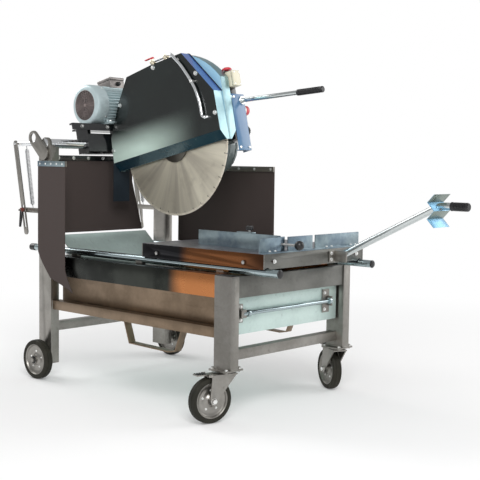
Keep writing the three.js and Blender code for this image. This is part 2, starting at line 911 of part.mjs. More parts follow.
function waterTray() {
  const shell = cut(block(-trayHalfWidth, trayHalfWidth, trayFrontY, trayRearY, trayFloor, trayRim), [
    block(
      -trayHalfWidth + traySheet,
      trayHalfWidth - traySheet,
      trayFrontY + traySheet,
      trayRearY - traySheet,
      trayFloor + traySheet,
      trayRim + overrun,
    ),
  ]);
  const lipBottom = sideBeamBottom + sideBeamWall;
  const lipEnd = bayEndY - trayLipEndGap;
  const lips = sides.map(({ side }) => block(
    side * (trayHalfWidth - traySheet),
    side * (trayHalfWidth + trayLip),
    -lipEnd,
    Math.min(lipEnd, trayRearY),
    lipBottom,
    lipBottom + traySheet,
  ));
  return join([shell, ...lips, ...splashPlate()]);
}

// The sloping sheet that throws the water back into the tray, on two tabs on the side beams
function splashPlate() {
  const slope = (splashRearZ - splashFrontZ) / (splashRearY - splashFrontY);
  const sheetZ = splashSheet * Math.hypot(1, slope);
  const sheet = prismX([
    [splashFrontY, splashFrontZ],
    [splashRearY, splashRearZ],
    [splashRearY, splashRearZ + sheetZ],
    [splashFrontY, splashFrontZ + sheetZ],
  ], -splashHalfWidth, splashHalfWidth);
  const tabY = splashFrontY + (frameTop - splashFrontZ) / slope;
  const tabs = sides.map(({ side }) => block(
    side * (splashHalfWidth - splashTabReach),
    side * (splashHalfWidth + splashTabReach),
    tabY - splashTabHalfLength,
    tabY + splashTabHalfLength,
    frameTop,
    frameTop + splashSheet,
  ));
  const hem = block(
    -trayHalfWidth,
    trayHalfWidth,
    splashFrontY,
    splashFrontY + splashHem,
    trayRim - splashSheet,
    trayRim + splashSheet,
  );
  return [sheet, hem, ...tabs];
}

function forkLoop(side) {
  const top = lowerBeamBottom;
  const low = top - loopDrop;
  const knee = top - loopKneeDrop;
  const outer = [
    [loopRearY, top],
    [loopRearBendY, low],
    [loopFrontBendY, low - loopBarThickness],
    [loopKneeY, knee],
    [loopFrontY, top],
  ];
  const inner = insetOutline(outer, loopBarThickness);
  inner[0] = [loopRearY - loopBarThickness - fit, top];
  inner[inner.length - 1] = [loopFrontY + loopBarThickness + fit, top];
  const weld = top + legWall / 2;
  const half = loopBarWidth / 2;
  const welded = [
    [loopRearY, weld],
    ...outer,
    [loopFrontY, weld],
    [loopFrontY + loopBarThickness + fit, weld],
    ...inner.reverse(),
    [loopRearY - loopBarThickness - fit, weld],
  ];
  return prismX(welded, side * loopCentreX - half, side * loopCentreX + half);
}

function frontBar() {
  const trayFace = trayFrontY;
  const beamFace = -frameEndY + frontBeamSetback;
  const leftEnd = frontPlateLeftOuterX + frontPlateLeftWidth;
  const leftPlate = block(
    frontPlateLeftOuterX,
    leftEnd,
    trayFace - frontPlateThickness,
    trayFace,
    frontBarZ - frontPlateLeftHeight / 2,
    frontBarZ + frontPlateLeftHeight / 2,
  );
  const rightPlate = block(
    frontPlateRightX,
    frontPlateRightX + frontPlateRightWidth,
    trayFace - frontPlateThickness,
    trayFace,
    frontBarZ - frontPlateLeftHeight / 2,
    frontBarZ - frontPlateLeftHeight / 2 + frontPlateRightHeight,
  );
  const rearOfBar = trayFace - frontPlateThickness / 2;
  const frontOfBar = frontBarY - frontBarRadius;
  const bosses = [frontBarLeftX, frontBarRightX].map((x) => (
    rodY(frontOfBar, rearOfBar, x, frontBarZ, frontBossRadius)
  ));
  const bar = rodX(frontBarLeftX, frontBarRightX, frontBarY, frontBarZ, frontBarRadius);
  const boltZ = frontPlateLeftHeight / 2 - nutRadius;
  const bolts = [-boltZ, boltZ].map((rise) => rodY(
    trayFace - frontPlateThickness - nutThickness / 2,
    rearOfBar,
    frontPlateLeftOuterX + nutRadius,
    frontBarZ + rise,
    nutRadius / 2,
    hexSides,
  ));
  const arm = block(
    frontPlateLeftOuterX,
    frontBarLeftX,
    trayFace - frontPlateThickness,
    trayFace,
    frontBarZ - frontBossRadius,
    frontBarZ + frontBossRadius,
  );
  const clearOfBeam = block(
    -legInnerX,
    legInnerX,
    beamFace,
    beamFace + frontBeamFlange + fit,
    frameTop - frontBeamDrop - frontBeamHeight - fit,
    frameTop,
  );
  return cut(join([leftPlate, arm, rightPlate, ...bosses, bar, ...bolts]), [clearOfBeam]);
}

function tableRail(side) {
  const tube = rodY(railFrontY, railRearY, side * railX, railZ, railRadius);
  const caps = [
    rodY(railFrontY, railFrontY + railCapLength, side * railX, railZ, railRadius + railCapProud),
    rodY(railRearY - railCapLength, railRearY, side * railX, railZ, railRadius + railCapProud),
  ];
  const footReach = bayEndY - railFootInset;
  const feet = [-footReach, 0, footReach - railFootLength].map((y) => block(
    side * railX - railFootWidth / 2,
    side * railX + railFootWidth / 2,
    y - railFootLength / 2,
    y + railFootLength / 2,
    frameTop,
    railZ - railRadius / 2,
  ));
  return join([tube, ...caps, ...feet]);
}

// The flat bar on a post's outer face that carries a side curtain
function sideHanger(side) {
  const top = side < 0 ? leftCurtainTop : rightCurtainTop;
  const frontY = side < 0 ? leftCurtainFrontY : rightCurtainFrontY;
  const inner = side * (legOuterX - legWall / 2);
  return block(inner, side * curtainX, frontY, leftCurtainRearY, top - hangerHeight, top);
}

function rearHanger() {
  return block(
    -legInnerX,
    legInnerX,
    rearCurtainY - hangerThickness,
    rearCurtainY,
    rearCurtainTop - hangerHeight,
    rearCurtainTop,
  );
}

function rivetsAlongY(x, side, y0, y1, z, count) {
  const rivets = [];
  for (let i = 0; i < count; i += 1) {
    const y = y0 + rivetInset + ((y1 - y0 - 2 * rivetInset) * i) / (count - 1);
    rivets.push(rodX(x, x + side * rivetProud, y, z, rivetRadius, smallSides));
  }
  return rivets;
}

function leftCurtain() {
  const face = -curtainX;
  const sheet = prismX([
    [leftCurtainFrontY, leftCurtainTop],
    [leftCurtainFrontY, leftCurtainFrontKneeZ],
    [leftCurtainBottomFrontY, leftCurtainBottomFrontZ],
    [leftCurtainBottomRearY, leftCurtainBottomRearZ],
    [leftCurtainRearY, leftCurtainRearKneeZ],
    [leftCurtainRearY, leftCurtainTop],
  ], face - curtainSheet, face);
  const z = leftCurtainTop - hangerHeight / 2;
  const outer = face - curtainSheet;
  const rivets = rivetsAlongY(outer, -1, leftCurtainFrontY, leftCurtainRearY, z, leftCurtainRivets);
  return join([sheet, ...rivets]);
}

function rightCurtain() {
  const sheet = prismX([
    [rightCurtainFrontY, rightCurtainTop],
    [rightCurtainFrontY, rightCurtainBottom],
    [rightCurtainRearY, rightCurtainBottom],
    [rightCurtainRearY, rightCurtainTop],
  ], curtainX, curtainX + curtainSheet);
  const z = rightCurtainTop - hangerHeight / 2;
  const outer = curtainX + curtainSheet;
  const rivets = rivetsAlongY(outer, 1, rightCurtainFrontY, rightCurtainRearY, z, rightCurtainRivets);
  return join([sheet, ...rivets]);
}

function rearCurtain() {
  const sheet = prismY([
    [rearCurtainLeftX, rearCurtainTop],
    [rearCurtainLeftX, rearCurtainBottom],
    [rearCurtainRightX + rearCurtainFlare, rearCurtainBottom],
    [rearCurtainRightX, rearCurtainFlareZ],
    [rearCurtainRightX, rearCurtainTop],
  ], rearCurtainY, rearCurtainY + curtainSheet);
  const rivets = [];
  const span = rearCurtainRightX - rearCurtainLeftX - 2 * rivetInset;
  for (let i = 0; i < rearCurtainRivets; i += 1) {
    const x = rearCurtainLeftX + rivetInset + (span * i) / (rearCurtainRivets - 1);
    const face = rearCurtainY + curtainSheet;
    rivets.push(rodY(face, face + rivetProud, x, rearCurtainTop - hangerHeight / 2, rivetRadius, smallSides));
  }
  return join([sheet, ...rivets]);
}

// Depth gear on the posts

function clampArm(side) {
  const outer = side * (barX - barThickness / 2 - clampBlockGap);
  const arm = block(
    outer,
    outer - side * clampBlockWidth,
    frameEndY - legWall / 2,
    clampBlockRearY,
    clampStudZ - clampBlockHeight / 2,
    clampStudZ + clampBlockHeight / 2,
  );
  const studEnd = side * (barX + barThickness / 2 + clampBossLength + clampBossRadius);
  return join([arm, rodX(outer - side * fit, studEnd, clampStudY, clampStudZ, clampStudRadius, smallSides)]);
}

// The boss turns on the stud, and the tapered arm hangs from it
function clampHandle(side) {
  const bossInner = side * (barX + barThickness / 2 + 2 * fit);
  const bossOuter = bossInner + side * clampBossLength;
  const boss = rodX(bossInner, bossOuter, clampStudY, clampStudZ, clampBossRadius, smallSides);
  const armX = bossOuter - side * clampArmRadius;
  const tip = [armX + side * clampArmSplay, clampStudY, clampStudZ - clampArmLength];
  const root = [armX, clampStudY, clampStudZ - clampBossRadius / 2];
  const arm = rodBetween(root, tip, clampArmRadius, smallSides);
  const bore = rodX(
    bossInner - side * overrun,
    bossOuter + side * clampBossRadius,
    clampStudY,
    clampStudZ,
    running(clampStudRadius, smallSides),
    smallSides,
  );
  return join([cut(join([boss, arm]), [bore]), ball(...tip, clampTipRadius)]);
}

// One unbroken wire from the block to the lever: a straight tail, the curls, a straight tail
function springPath(side) {
  const foot = new THREE.Vector3(side * springX, springFootY, clampStudZ + clampBlockHeight / 2 + fit);
  const head = new THREE.Vector3(side * springX, springTopY, pivotZ - leverRadius - fit);
  const axis = head.clone().sub(foot);
  const length = axis.length();
  axis.normalize();
  const across = new THREE.Vector3(1, 0, 0);
  const along = new THREE.Vector3().crossVectors(axis, across);
  const points = [foot.clone(), foot.clone().addScaledVector(axis, springTail / 2)];
  const count = springCurls * springSteps;
  for (let i = 0; i <= count; i += 1) {
    const turn = i / springSteps;
    const fromEnd = Math.min(turn, springCurls - turn);
    const radius = springCoilRadius * Math.min(1, fromEnd);
    const angle = 2 * Math.PI * turn;
    points.push(foot.clone()
      .addScaledVector(axis, springTail + ((length - 2 * springTail) * i) / count)
      .addScaledVector(across, radius * Math.cos(angle))
      .addScaledVector(along, radius * Math.sin(angle)));
  }
  points.push(head.clone().addScaledVector(axis, -springTail / 2), head.clone());
  return points;
}

function spring(side) {
  const points = springPath(side);
  const positions = [];
  const index = [];
  const sideways = new THREE.Vector3(1, 0, 0);
  points.forEach((point, i) => {
    const before = points[Math.max(i - 1, 0)];
    const after = points[Math.min(i + 1, points.length - 1)];
    const direction = after.clone().sub(before).normalize();
    const first = sideways.clone().addScaledVector(direction, -sideways.dot(direction)).normalize();
    const second = new THREE.Vector3().crossVectors(direction, first);
    sideways.copy(first);
    for (let k = 0; k < springSides; k += 1) {
      const angle = (2 * Math.PI * k) / springSides;
      const corner = point.clone()
        .addScaledVector(first, springWireRadius * Math.cos(angle))
        .addScaledVector(second, springWireRadius * Math.sin(angle));
      positions.push(corner.x, corner.y, corner.z);
    }
  });
  const rings = points.length;
  for (let i = 0; i < rings - 1; i += 1) {
    for (let k = 0; k < springSides; k += 1) {
      const a = i * springSides + k;
      const b = i * springSides + ((k + 1) % springSides);
      index.push(a, b, b + springSides, a, b + springSides, a + springSides);
    }
  }
  const last = (rings - 1) * springSides;
  for (let k = 1; k < springSides - 1; k += 1) {
    index.push(0, k + 1, k);
    index.push(last, last + k, last + k + 1);
  }
  const geometry = new THREE.BufferGeometry();
  geometry.setAttribute('position', new THREE.Float32BufferAttribute(positions, 3));
  geometry.setIndex(index);
  return solidOf(geometry);
}

// The least gap between neighbouring curls, measured on the points of the wire
function leastSpringGap() {
  const points = springPath(1);
  let least = Infinity;
  for (let i = 0; i < points.length; i += 1) {
    for (let j = i + springSteps / 2; j < points.length; j += 1) {
      least = Math.min(least, points[i].distanceTo(points[j]));
    }
  }
  return least - 2 * springWireRadius;
}

// Wheels and casters, each about an axle along X through the given point

function wheel(x, y, z, bore) {
  const half = tyreWidth / 2;
  const rimHalf = rimWidth / 2;
  const rimRadius = wheelRadius - tyreDepth;
  const disc = turnedX([
    [0, x - hubWidth / 2],
    [hubRadius, x - hubWidth / 2],
    [hubRadius, x - rimHalf + rimDish],
    [rimRadius, x - rimHalf + rimDish],
    [rimRadius, x - half],
    [wheelRadius - tyreShoulder, x - half],
    [wheelRadius, x - half + tyreShoulder],
    [wheelRadius, x + half - tyreShoulder],
    [wheelRadius - tyreShoulder, x + half],
    [rimRadius, x + half],
    [rimRadius, x + rimHalf - rimDish],
    [hubRadius, x + rimHalf - rimDish],
    [hubRadius, x + hubWidth / 2],
    [0, x + hubWidth / 2],
  ], y, z, wheelSides);
  return cut(disc, [rodX(x - hubWidth, x + hubWidth, y, z, running(bore))]);
}

// The fork of a caster: its king pin stands at the origin and it trails towards +Y
function casterFork() {
  const crownTop = casterPlateBottom - casterRingHeight - fit;
  const crownBottom = crownTop - forkSheet;
  const half = forkWidth / 2;
  const crownEnd = casterTrail + pedalPivotOut - pedalBarrelRadius - fit;
  const crown = block(-half, half, -forkCrownRear, crownEnd, crownBottom, crownTop);
  const cheek = [
    [-forkCrownRear, crownTop],
    [crownEnd, crownTop],
    [casterTrail + forkToeRadius, wheelRadius],
    [casterTrail + forkToeRadius / 2, wheelRadius - forkToeRadius],
    [casterTrail - forkToeRadius / 2, wheelRadius - forkToeRadius],
    [casterTrail - forkToeRadius, wheelRadius],
  ];
  const cheeks = [prismX(cheek, -half, -half + forkSheet), prismX(cheek, half - forkSheet, half)];
  const ring = rodZ(crownBottom, casterPlateBottom - fit, 0, 0, casterRingRadius);
  const kingPin = rodZ(crownBottom, frontLegFoot + casterPlateThickness, 0, 0, kingPinRadius, smallSides);
  const axleEnd = half + nutThickness;
  const axle = rodX(-axleEnd, axleEnd, casterTrail, wheelRadius, axleRadius, smallSides);
  const nuts = [-1, 1].map((end) => rodX(
    end * half,
    end * (half + nutThickness),
    casterTrail,
    wheelRadius,
    nutRadius,
    hexSides,
  ));
  const pinY = casterTrail + pedalPivotOut;
  const pinZ = crownTop - forkSheet / 2;
  const pin = rodX(-half, half, pinY, pinZ, pedalPinRadius, smallSides);
  const lugs = [-1, 1].map((end) => block(
    end * half,
    end * (half - lugThickness),
    crownEnd - overrun,
    pinY + pedalBarrelRadius,
    pinZ - pedalPinRadius - fit,
    pinZ + pedalBarrelRadius,
  ));
  return join([crown, ...cheeks, ring, kingPin, axle, ...nuts, pin, ...lugs]);
}

function brakePedal() {
  const crownTop = casterPlateBottom - casterRingHeight - fit;
  const pinY = casterTrail + pedalPivotOut;
  const pinZ = crownTop - forkSheet / 2;
  const barrel = rodX(-pedalBarrelWidth / 2, pedalBarrelWidth / 2, pinY, pinZ, pedalBarrelRadius, smallSides);
  const tread = block(
    -pedalWidth / 2,
    pedalWidth / 2,
    pinY,
    pinY + pedalLength,
    pinZ + pedalBarrelRadius - pedalSheet,
    pinZ + pedalBarrelRadius,
  );
  const bore = rodX(-pedalWidth, pedalWidth, pinY, pinZ, running(pedalPinRadius, smallSides), smallSides);
  return cut(join([barrel, tread]), [bore]);
}

// Rolling table

function tableBody() {
  const skirtBottom = tableTop - tableSkirt;
  const shell = cut(block(-tableHalfWidth, tableHalfWidth, tableFrontY, tableRearY, skirtBottom, tableTop), [
    block(
      -tableHalfWidth + tableSheet,
      tableHalfWidth - tableSheet,
      tableFrontY + tableSheet,
      tableRearY - tableSheet,
      skirtBottom - overrun,
      tableTop - tableSheet,
    ),
  ]);
  const slot = block(
    bladeX - slotWidth / 2,
    bladeX + slotWidth / 2,
    tableFrontY + tableSheet,
    tableRearY + overrun,
    skirtBottom - overrun,
    tableTop + overrun,
  );
  const notches = sides.map(({ side }) => rodY(
    tableFrontY - overrun,
    tableRearY + overrun,
    side * railX,
    railZ,
    railRadius + railCapProud + overrun,
  ));
  const axleHoles = [rollerFrontY, rollerRearY].map((y) => rodX(
    -tableHalfWidth - overrun,
    tableHalfWidth + overrun,
    y,
    rollerZ,
    running(rollerAxleRadius, smallSides),
    smallSides,
  ));
  const bolts = sides.map(({ side }) => rodY(
    tableFrontY - boltHeadHeight,
    tableFrontY + tableSheet / 2,
    side * (tableHalfWidth - skirtBoltInset),
    rollerZ + boltHeadRadius,
    boltHeadRadius,
    hexSides,
  ));
  return join([cut(shell, [slot, ...notches, ...axleHoles]), ...bolts]);
}

// A pair of grooved rollers that run on the round rails, fast on one axle through the skirts
function rollerPair(y) {
  const treadRadius = rollerZ - railZ - railRadius - fit;
  const half = rollerWidth / 2;
  const waist = (treadRadius + rollerFlangeRadius) / 2;
  const rollers = sides.map(({ side }) => {
    const x = side * railX;
    const body = turnedX([
      [0, x - half],
      [rollerFlangeRadius, x - half],
      [waist, x - half * rollerWaistShare],
      [treadRadius, x - half * rollerTreadShare],
      [treadRadius, x + half * rollerTreadShare],
      [waist, x + half * rollerWaistShare],
      [rollerFlangeRadius, x + half],
      [0, x + half],
    ], y, rollerZ);
    const face = side * (tableHalfWidth + fit);
    return join([body, rodX(face, face + side * boltHeadHeight, y, rollerZ, boltHeadRadius, hexSides)]);
  });
  const end = tableHalfWidth + boltHeadHeight;
  return join([...rollers, rodX(-end, end, y, rollerZ, rollerAxleRadius, smallSides)]);
}

function crossFence() {
  const rear = crossFenceY + fenceSheet;
  const face = crossFenceY;
  const top = tableTop + fenceHeight;
  const pieces = [
    [-tableHalfWidth, fenceGapLeftX],
    [fenceGapRightX, tableHalfWidth],
  ].map(([x0, x1]) => block(x0, x1, face, rear, tableTop, top));
  const footTop = tableTop + fenceSheet;
  pieces.push(block(-tableHalfWidth, tableHalfWidth, face - fenceFlange, rear, tableTop, footTop));
  const notch = block(
    bladeX - fenceNotch / 2,
    bladeX + fenceNotch / 2,
    face - overrun,
    rear + overrun,
    tableTop + fenceSheet,
    top + overrun,
  );
  const screwY = face - fenceFlange / 2;
  const leftScrews = [-tableHalfWidth + fenceScrewInset, -tableHalfWidth + fenceScrewInset + fenceScrewPitch];
  const rightEnd = tableHalfWidth - fenceScrewInset;
  const middle = (bladeX + rightEnd) / 2 - 2 * fenceScrewPitch;
  const rightScrews = [middle, middle + fenceScrewPitch, rightEnd - fenceScrewPitch, rightEnd];
  const screws = [...leftScrews, ...rightScrews].map((x) => rodZ(
    tableTop + fenceSheet / 2,
    tableTop + fenceSheet + fenceSheet / 2,
    x,
    screwY,
    fenceScrewRadius,
    hexSides,
  ));
  return join([cut(join(pieces), [notch]), ...screws]);
}

function sideFence() {
  const left = sideFenceX - fenceSheet / 2;
  const right = sideFenceX + fenceSheet / 2;
  const top = tableTop + sideFenceHeight;
  const upright = block(left, right, sideFenceFrontY, sideFenceRearY, tableTop, top);
  const footRight = right + sideFenceFlange;
  const footTop = tableTop + fenceSheet;
  const foot = block(left, footRight, sideFenceFrontY, sideFenceRearY, tableTop, footTop);
  const gussetY = sideFenceRearY - sideFenceGussetSetback;
  const gusset = prismY([
    [right - fit, tableTop + fenceSheet - fit],
    [right + sideFenceFlange, tableTop + fenceSheet - fit],
    [right - fit, top],
  ], gussetY - fenceSheet / 2, gussetY + fenceSheet / 2);
  const clamp = block(
    sideFenceX - clampPlateWidth / 2,
    sideFenceX + clampPlateWidth / 2,
    sideFenceFrontY - fenceSheet,
    sideFenceFrontY,
    tableTop,
    tableTop + fenceHeight,
  );
  const bracket = block(
    sideFenceX - knobBracketWidth / 2,
    sideFenceX + knobBracketWidth / 2,
    knobBracketRearY - knobBracketLength,
    knobBracketRearY,
    top,
    top + fenceSheet,
  );
  return join([upright, foot, gusset, clamp, bracket]);
}

function clampScrew() {
  const start = sideFenceFrontY - fenceSheet - fit;
  const end = start - clampRodLength;
  return join([
    rodY(start, end, sideFenceX, clampRodZ, clampRodRadius, smallSides),
    ball(sideFenceX, end, clampRodZ, clampBallRadius),
  ]);
}

function fenceKnob() {
  const foot = tableTop + sideFenceHeight + fenceSheet + fit;
  const headFoot = foot + knobStemHeight;
  return join([
    rodZ(foot, headFoot + knobHeight / 2, sideFenceX, knobY, knobStemRadius, smallSides),
    rodZ(headFoot, headFoot + knobHeight, sideFenceX, knobY, knobRadius, smallSides),
  ]);
}

function pushHandle() {
  const skirtFace = tableFrontY;
  const socketX = pushX - pushRadius - socketSheet / 2;
  const plate = block(
    socketX - socketSheet / 2,
    socketX + socketSheet,
    skirtFace - socketLength,
    skirtFace - socketSheet / 2,
    pushBaseZ - socketHeight / 2,
    pushBaseZ + socketHeight / 2,
  );
  const flange = block(
    socketX - socketFlange,
    socketX + socketSheet,
    skirtFace - socketSheet,
    skirtFace,
    pushBaseZ - socketHeight / 2,
    pushBaseZ + socketHeight / 2,
  );
  const start = [pushX, skirtFace - socketSheet - pushRadius, pushBaseZ];
  const bend = [pushX, pushBendY, pushBendZ];
  const slanted = rodBetween(start, bend, pushRadius);
  const elbow = ball(...bend, pushRadius);
  const level = rodY(pushBendY, pushEndY, pushX, pushBendZ, pushRadius);
  const grip = rodY(pushEndY, pushGripEndY, pushX, pushBendZ, pushGripRadius);
  return join([plate, flange, slanted, elbow, level, grip, hipPlate()]);
}

// The zigzag plate at the bend: four flat facets one above the other, with level folds
function hipPlate() {
  const facets = 4;
  const step = hipPlateHeight / facets;
  const left = pushX + hipPlateOffset - hipPlateWidth / 2;
  const front = [];
  const back = [];
  for (let i = 0; i <= facets; i += 1) {
    const y = hipPlateY + (i % 2 === 0 ? -1 : 1) * (hipPlateZigzag / 2);
    front.push([y - hipPlateSheet / 2, hipPlateBottom + i * step]);
    back.push([y + hipPlateSheet / 2, hipPlateBottom + i * step]);
  }
  return prismX([...front, ...back.reverse()], left, left + hipPlateWidth);
}

// Saw head, in the level position

// The lever arms stand level when the head is up, so they are built in the resting position
function pivotShaft() {
  const reach = legOuterX - fit;
  const shaft = rodX(-reach, reach, pivotY, pivotZ, pivotRadius);
  const levers = sides.map(({ side }) => {
    const pinY = pivotY + leverReach;
    const arm = rodY(pivotY, pinY + leverOverhang, side * leverX, pivotZ, leverRadius);
    const pinEnd = side * (barX + barThickness / 2 + barPinProud);
    return join([arm, rodX(side * leverX, pinEnd, pinY, pivotZ, barPinRadius, smallSides)]);
  });
  return join([shaft, ...levers]);
}

// A slotted flat bar: it hangs from the lever's pin and slides past the clamp stud
function depthBar(side) {
  const pin = [pivotY + leverReach, pivotZ];
  const toStud = [clampStudY - pin[0], clampStudZ - pin[1]];
  const length = Math.hypot(...toStud);
  const down = toStud.map((part) => part / length);
  const across = [-down[1], down[0]];
  const at = (along, sideways) => [
    pin[0] + down[0] * along + across[0] * sideways,
    pin[1] + down[1] * along + across[1] * sideways,
  ];
  const half = barWidth / 2;
  const capsule = (from, to, radius) => {
    const shape = new THREE.Shape();
    const lean = Math.atan2(down[1], down[0]);
    shape.absarc(...at(to, 0), radius, lean - Math.PI / 2, lean + Math.PI / 2, false);
    shape.absarc(...at(from, 0), radius, lean + Math.PI / 2, lean + (3 * Math.PI) / 2, false);
    shape.closePath();
    return shape;
  };
  const x0 = side * barX - barThickness / 2;
  const x1 = side * barX + barThickness / 2;
  const bar = prismX(capsule(0, barLength, half), x0, x1);
  const slot = prismX(capsule(barSlotStart, barSlotEnd, barSlotWidth / 2), x0 - overrun, x1 + overrun);
  const bore = rodX(x0 - overrun, x1 + overrun, ...pin, running(barPinRadius, smallSides), smallSides);
  return cut(bar, [slot, bore]);
}

// The guard's outline follows the blade, as shares of the blade's radius from its axis
const guardOutlineShares = [
  [1.159, -0.039],
  [1.145, 0.331],
  [0.883, 0.783],
  [0.637, 1.106],
  [0.11, 1.137],
  [-0.508, 1.134],
  [-1.004, 0.491],
  [-1.018, -0.039],
];

// The points before the outline's front corner on the roof
const guardRoofPoints = 5;

function guardOutline(rounded) {
  const points = guardOutlineShares.map(([u, v]) => [bladeY + u * bladeRadius, bladeZ + v * bladeRadius]);
  const frontY = points[points.length - 1][0];
  const top = points[guardRoofPoints][1];
  points[0][1] = guardFloor;
  points[points.length - 1][1] = guardFloor;
  if (!rounded) return points;
  const start = Math.atan2(top - bladeZ, -Math.sqrt(guardArcRadius ** 2 - (top - bladeZ) ** 2));
  const end = Math.PI - Math.acos((bladeY - frontY) / guardArcRadius);
  const arc = [];
  for (let i = 0; i <= hexSides; i += 1) {
    const angle = start + ((end - start) * i) / hexSides;
    arc.push([bladeY + guardArcRadius * Math.cos(angle), bladeZ + guardArcRadius * Math.sin(angle)]);
  }
  return [...points.slice(0, guardRoofPoints), ...arc, points[points.length - 1]];
}

// Half of the guard: a pressed shell, open at the seam over the blade and along its lower edge
function guardHalf(side, rounded) {
  const seam = bladeX + (side * fit) / 2;
  const outer = bladeX + side * guardHalfWidth;
  const outline = guardOutline(rounded);
  const inner = insetOutline(outline, guardSheet).map(([y, z]) => (
    [y, z < guardFloor + 2 * guardSheet ? guardFloor - overrun : z]
  ));
  const hollowOuter = outer - side * guardSheet;
  const body = prismX(outline, Math.min(seam, outer), Math.max(seam, outer));
  const seamCut = seam - side * overrun;
  const hollow = prismX(inner, Math.min(seamCut, hollowOuter), Math.max(seamCut, hollowOuter));
  const rearY = outline[0][0];
  const frontY = outline[outline.length - 1][0];
  const lipX = bladeX + side * guardLipHalfWidth;
  const hem = prismY([
    [seam, guardFloor],
    [seam, guardLip],
    [lipX, guardLip],
    [outer, guardFloor],
  ], frontY, rearY);
  const hemHollow = prismY([
    [seamCut, guardFloor + overrun],
    [seamCut, guardLip - overrun],
    [lipX - side * guardSheet, guardLip - overrun],
    [lipX - side * guardSheet, guardLip + guardSheet],
    [hollowOuter, guardFloor],
    [hollowOuter, guardFloor + overrun],
  ], frontY + guardSheet, rearY - guardSheet);
  return cut(join([body, hem]), [hollow, hemHollow]);
}

function guardLeft() {
  const face = bladeX - guardHalfWidth;
  const boltPlaceShares = [
    [0.066, 1.087],
    [-0.726, 0.794],
    [-0.974, 0.199],
    [0.855, 0.745],
    [1.125, 0.141],
  ];
  const bolts = boltPlaceShares.map(([u, v]) => rodX(
    face - boltHeadHeight,
    face + guardSheet / 2,
    bladeY + u * bladeRadius,
    bladeZ + v * bladeRadius,
    boltHeadRadius,
    hexSides,
  ));
  return join([guardHalf(-1, false), ...bolts]);
}

// The web that closes the right half where its round front stands out past the left half
function seamWeb() {
  const seam = bladeX + fit / 2;
  const front = guardOutline(true).slice(guardRoofPoints);
  const brow = guardOutline(false)[guardRoofPoints + 1];
  return prismX([...front, brow], seam, seam + guardSheet);
}

function guardRight() {
  const outer = bladeX + guardHalfWidth;
  const shaftHole = rodX(outer - guardHalfWidth, outer + overrun, bladeY, bladeZ, guardShaftHole);
  return cut(join([guardHalf(1, true), seamWeb()]), [shaftHole]);
}

function blade() {
  const shape = new THREE.Shape();
  const pitch = (2 * Math.PI) / bladeSlots;
  const slotHalf = bladeSlotWidth / 2 / bladeRadius;
  const root = bladeRadius - bladeSlotDepth;
  for (let i = 0; i < bladeSlots; i += 1) {
    const angle = i * pitch;
    const corners = [
      [root, angle - slotHalf],
      [root, angle + slotHalf],
      [bladeRadius, angle + slotHalf],
      [bladeRadius, angle + pitch - slotHalf],
    ];
    corners.forEach(([radius, turn], k) => {
      const y = bladeY + radius * Math.cos(turn);
      const z = bladeZ + radius * Math.sin(turn);
      if (i === 0 && k === 0) shape.moveTo(y, z);
      else shape.lineTo(y, z);
    });
  }
  shape.closePath();
  const x0 = bladeX - bladeThickness / 2;
  const x1 = bladeX + bladeThickness / 2;
  return cut(prismX(shape, x0, x1), [rodX(x0 - overrun, x1 + overrun, bladeY, bladeZ, running(shaftRadius))]);
}

// The blade's shaft with its two flanges, the nut and the driven pulley
function bladeShaft() {
  const leftEnd = bladeX - bladeThickness / 2 - flangeThickness - nutThickness;
  const pulleyRight = beltGuardX + beltGuardWidth - 4 * overrun;
  const shaft = rodX(leftEnd, pulleyRight, bladeY, bladeZ, shaftRadius);
  const flanges = [-1, 1].map((end) => {
    const inner = bladeX + end * (bladeThickness / 2 + fit);
    return rodX(inner, inner + end * flangeThickness, bladeY, bladeZ, flangeRadius, wheelSides);
  });
  const nut = rodX(leftEnd + overrun, leftEnd + nutThickness, bladeY, bladeZ, 2 * nutRadius, hexSides);
  const pulley = rodX(pulleyRight - pulleyWidth, pulleyRight, bladeY, bladeZ, bladePulleyRadius);
  return join([shaft, ...flanges, nut, pulley]);
}

// The fabricated arm: a hub on the pivot shaft, a channel beside the guard, the bearing housing
// of the blade's shaft, and the motor plate on three ribs
function headArm() {
  const left = bladeX + guardHalfWidth;
  const outline = [
    [pivotY, hubBottom],
    [pivotY, hubTop],
    [armKneeY, armFrontTop],
    [armFrontY, armFrontTop],
    [armFrontY, armFrontZ],
    [armKneeY, armFrontZ],
  ];
  const channel = cut(prismX(outline, left, hubRightX), [
    prismX(insetOutline(outline, armSheet), left + armSheet, hubRightX + overrun),
  ]);
  const hub = block(hubLeftX, hubRightX, pivotY - hubHalfDepth, pivotY + hubHalfDepth, hubBottom, hubTop);
  const housing = rodX(left, beltGuardX - fit, bladeY, bladeZ, housingRadius);
  const ribTop = motorPlateTop - motorPlateSheet / 2;
  const ribs = [hubLeftX, ribMiddleX, hubRightX - ribWidth].map((x) => block(
    x,
    x + ribWidth,
    motorPlateFrontY + motorPlateLip,
    pivotY + hubHalfDepth,
    hubTop - overrun,
    ribTop,
  ));
  const bore = rodX(hubLeftX - overrun, hubRightX + overrun, pivotY, pivotZ, running(pivotRadius));
  const shaftBore = rodX(left - overrun, beltGuardX + overrun, bladeY, bladeZ, running(shaftRadius));
  return cut(join([channel, hub, housing, ...ribs, motorPlate()]), [bore, shaftBore]);
}

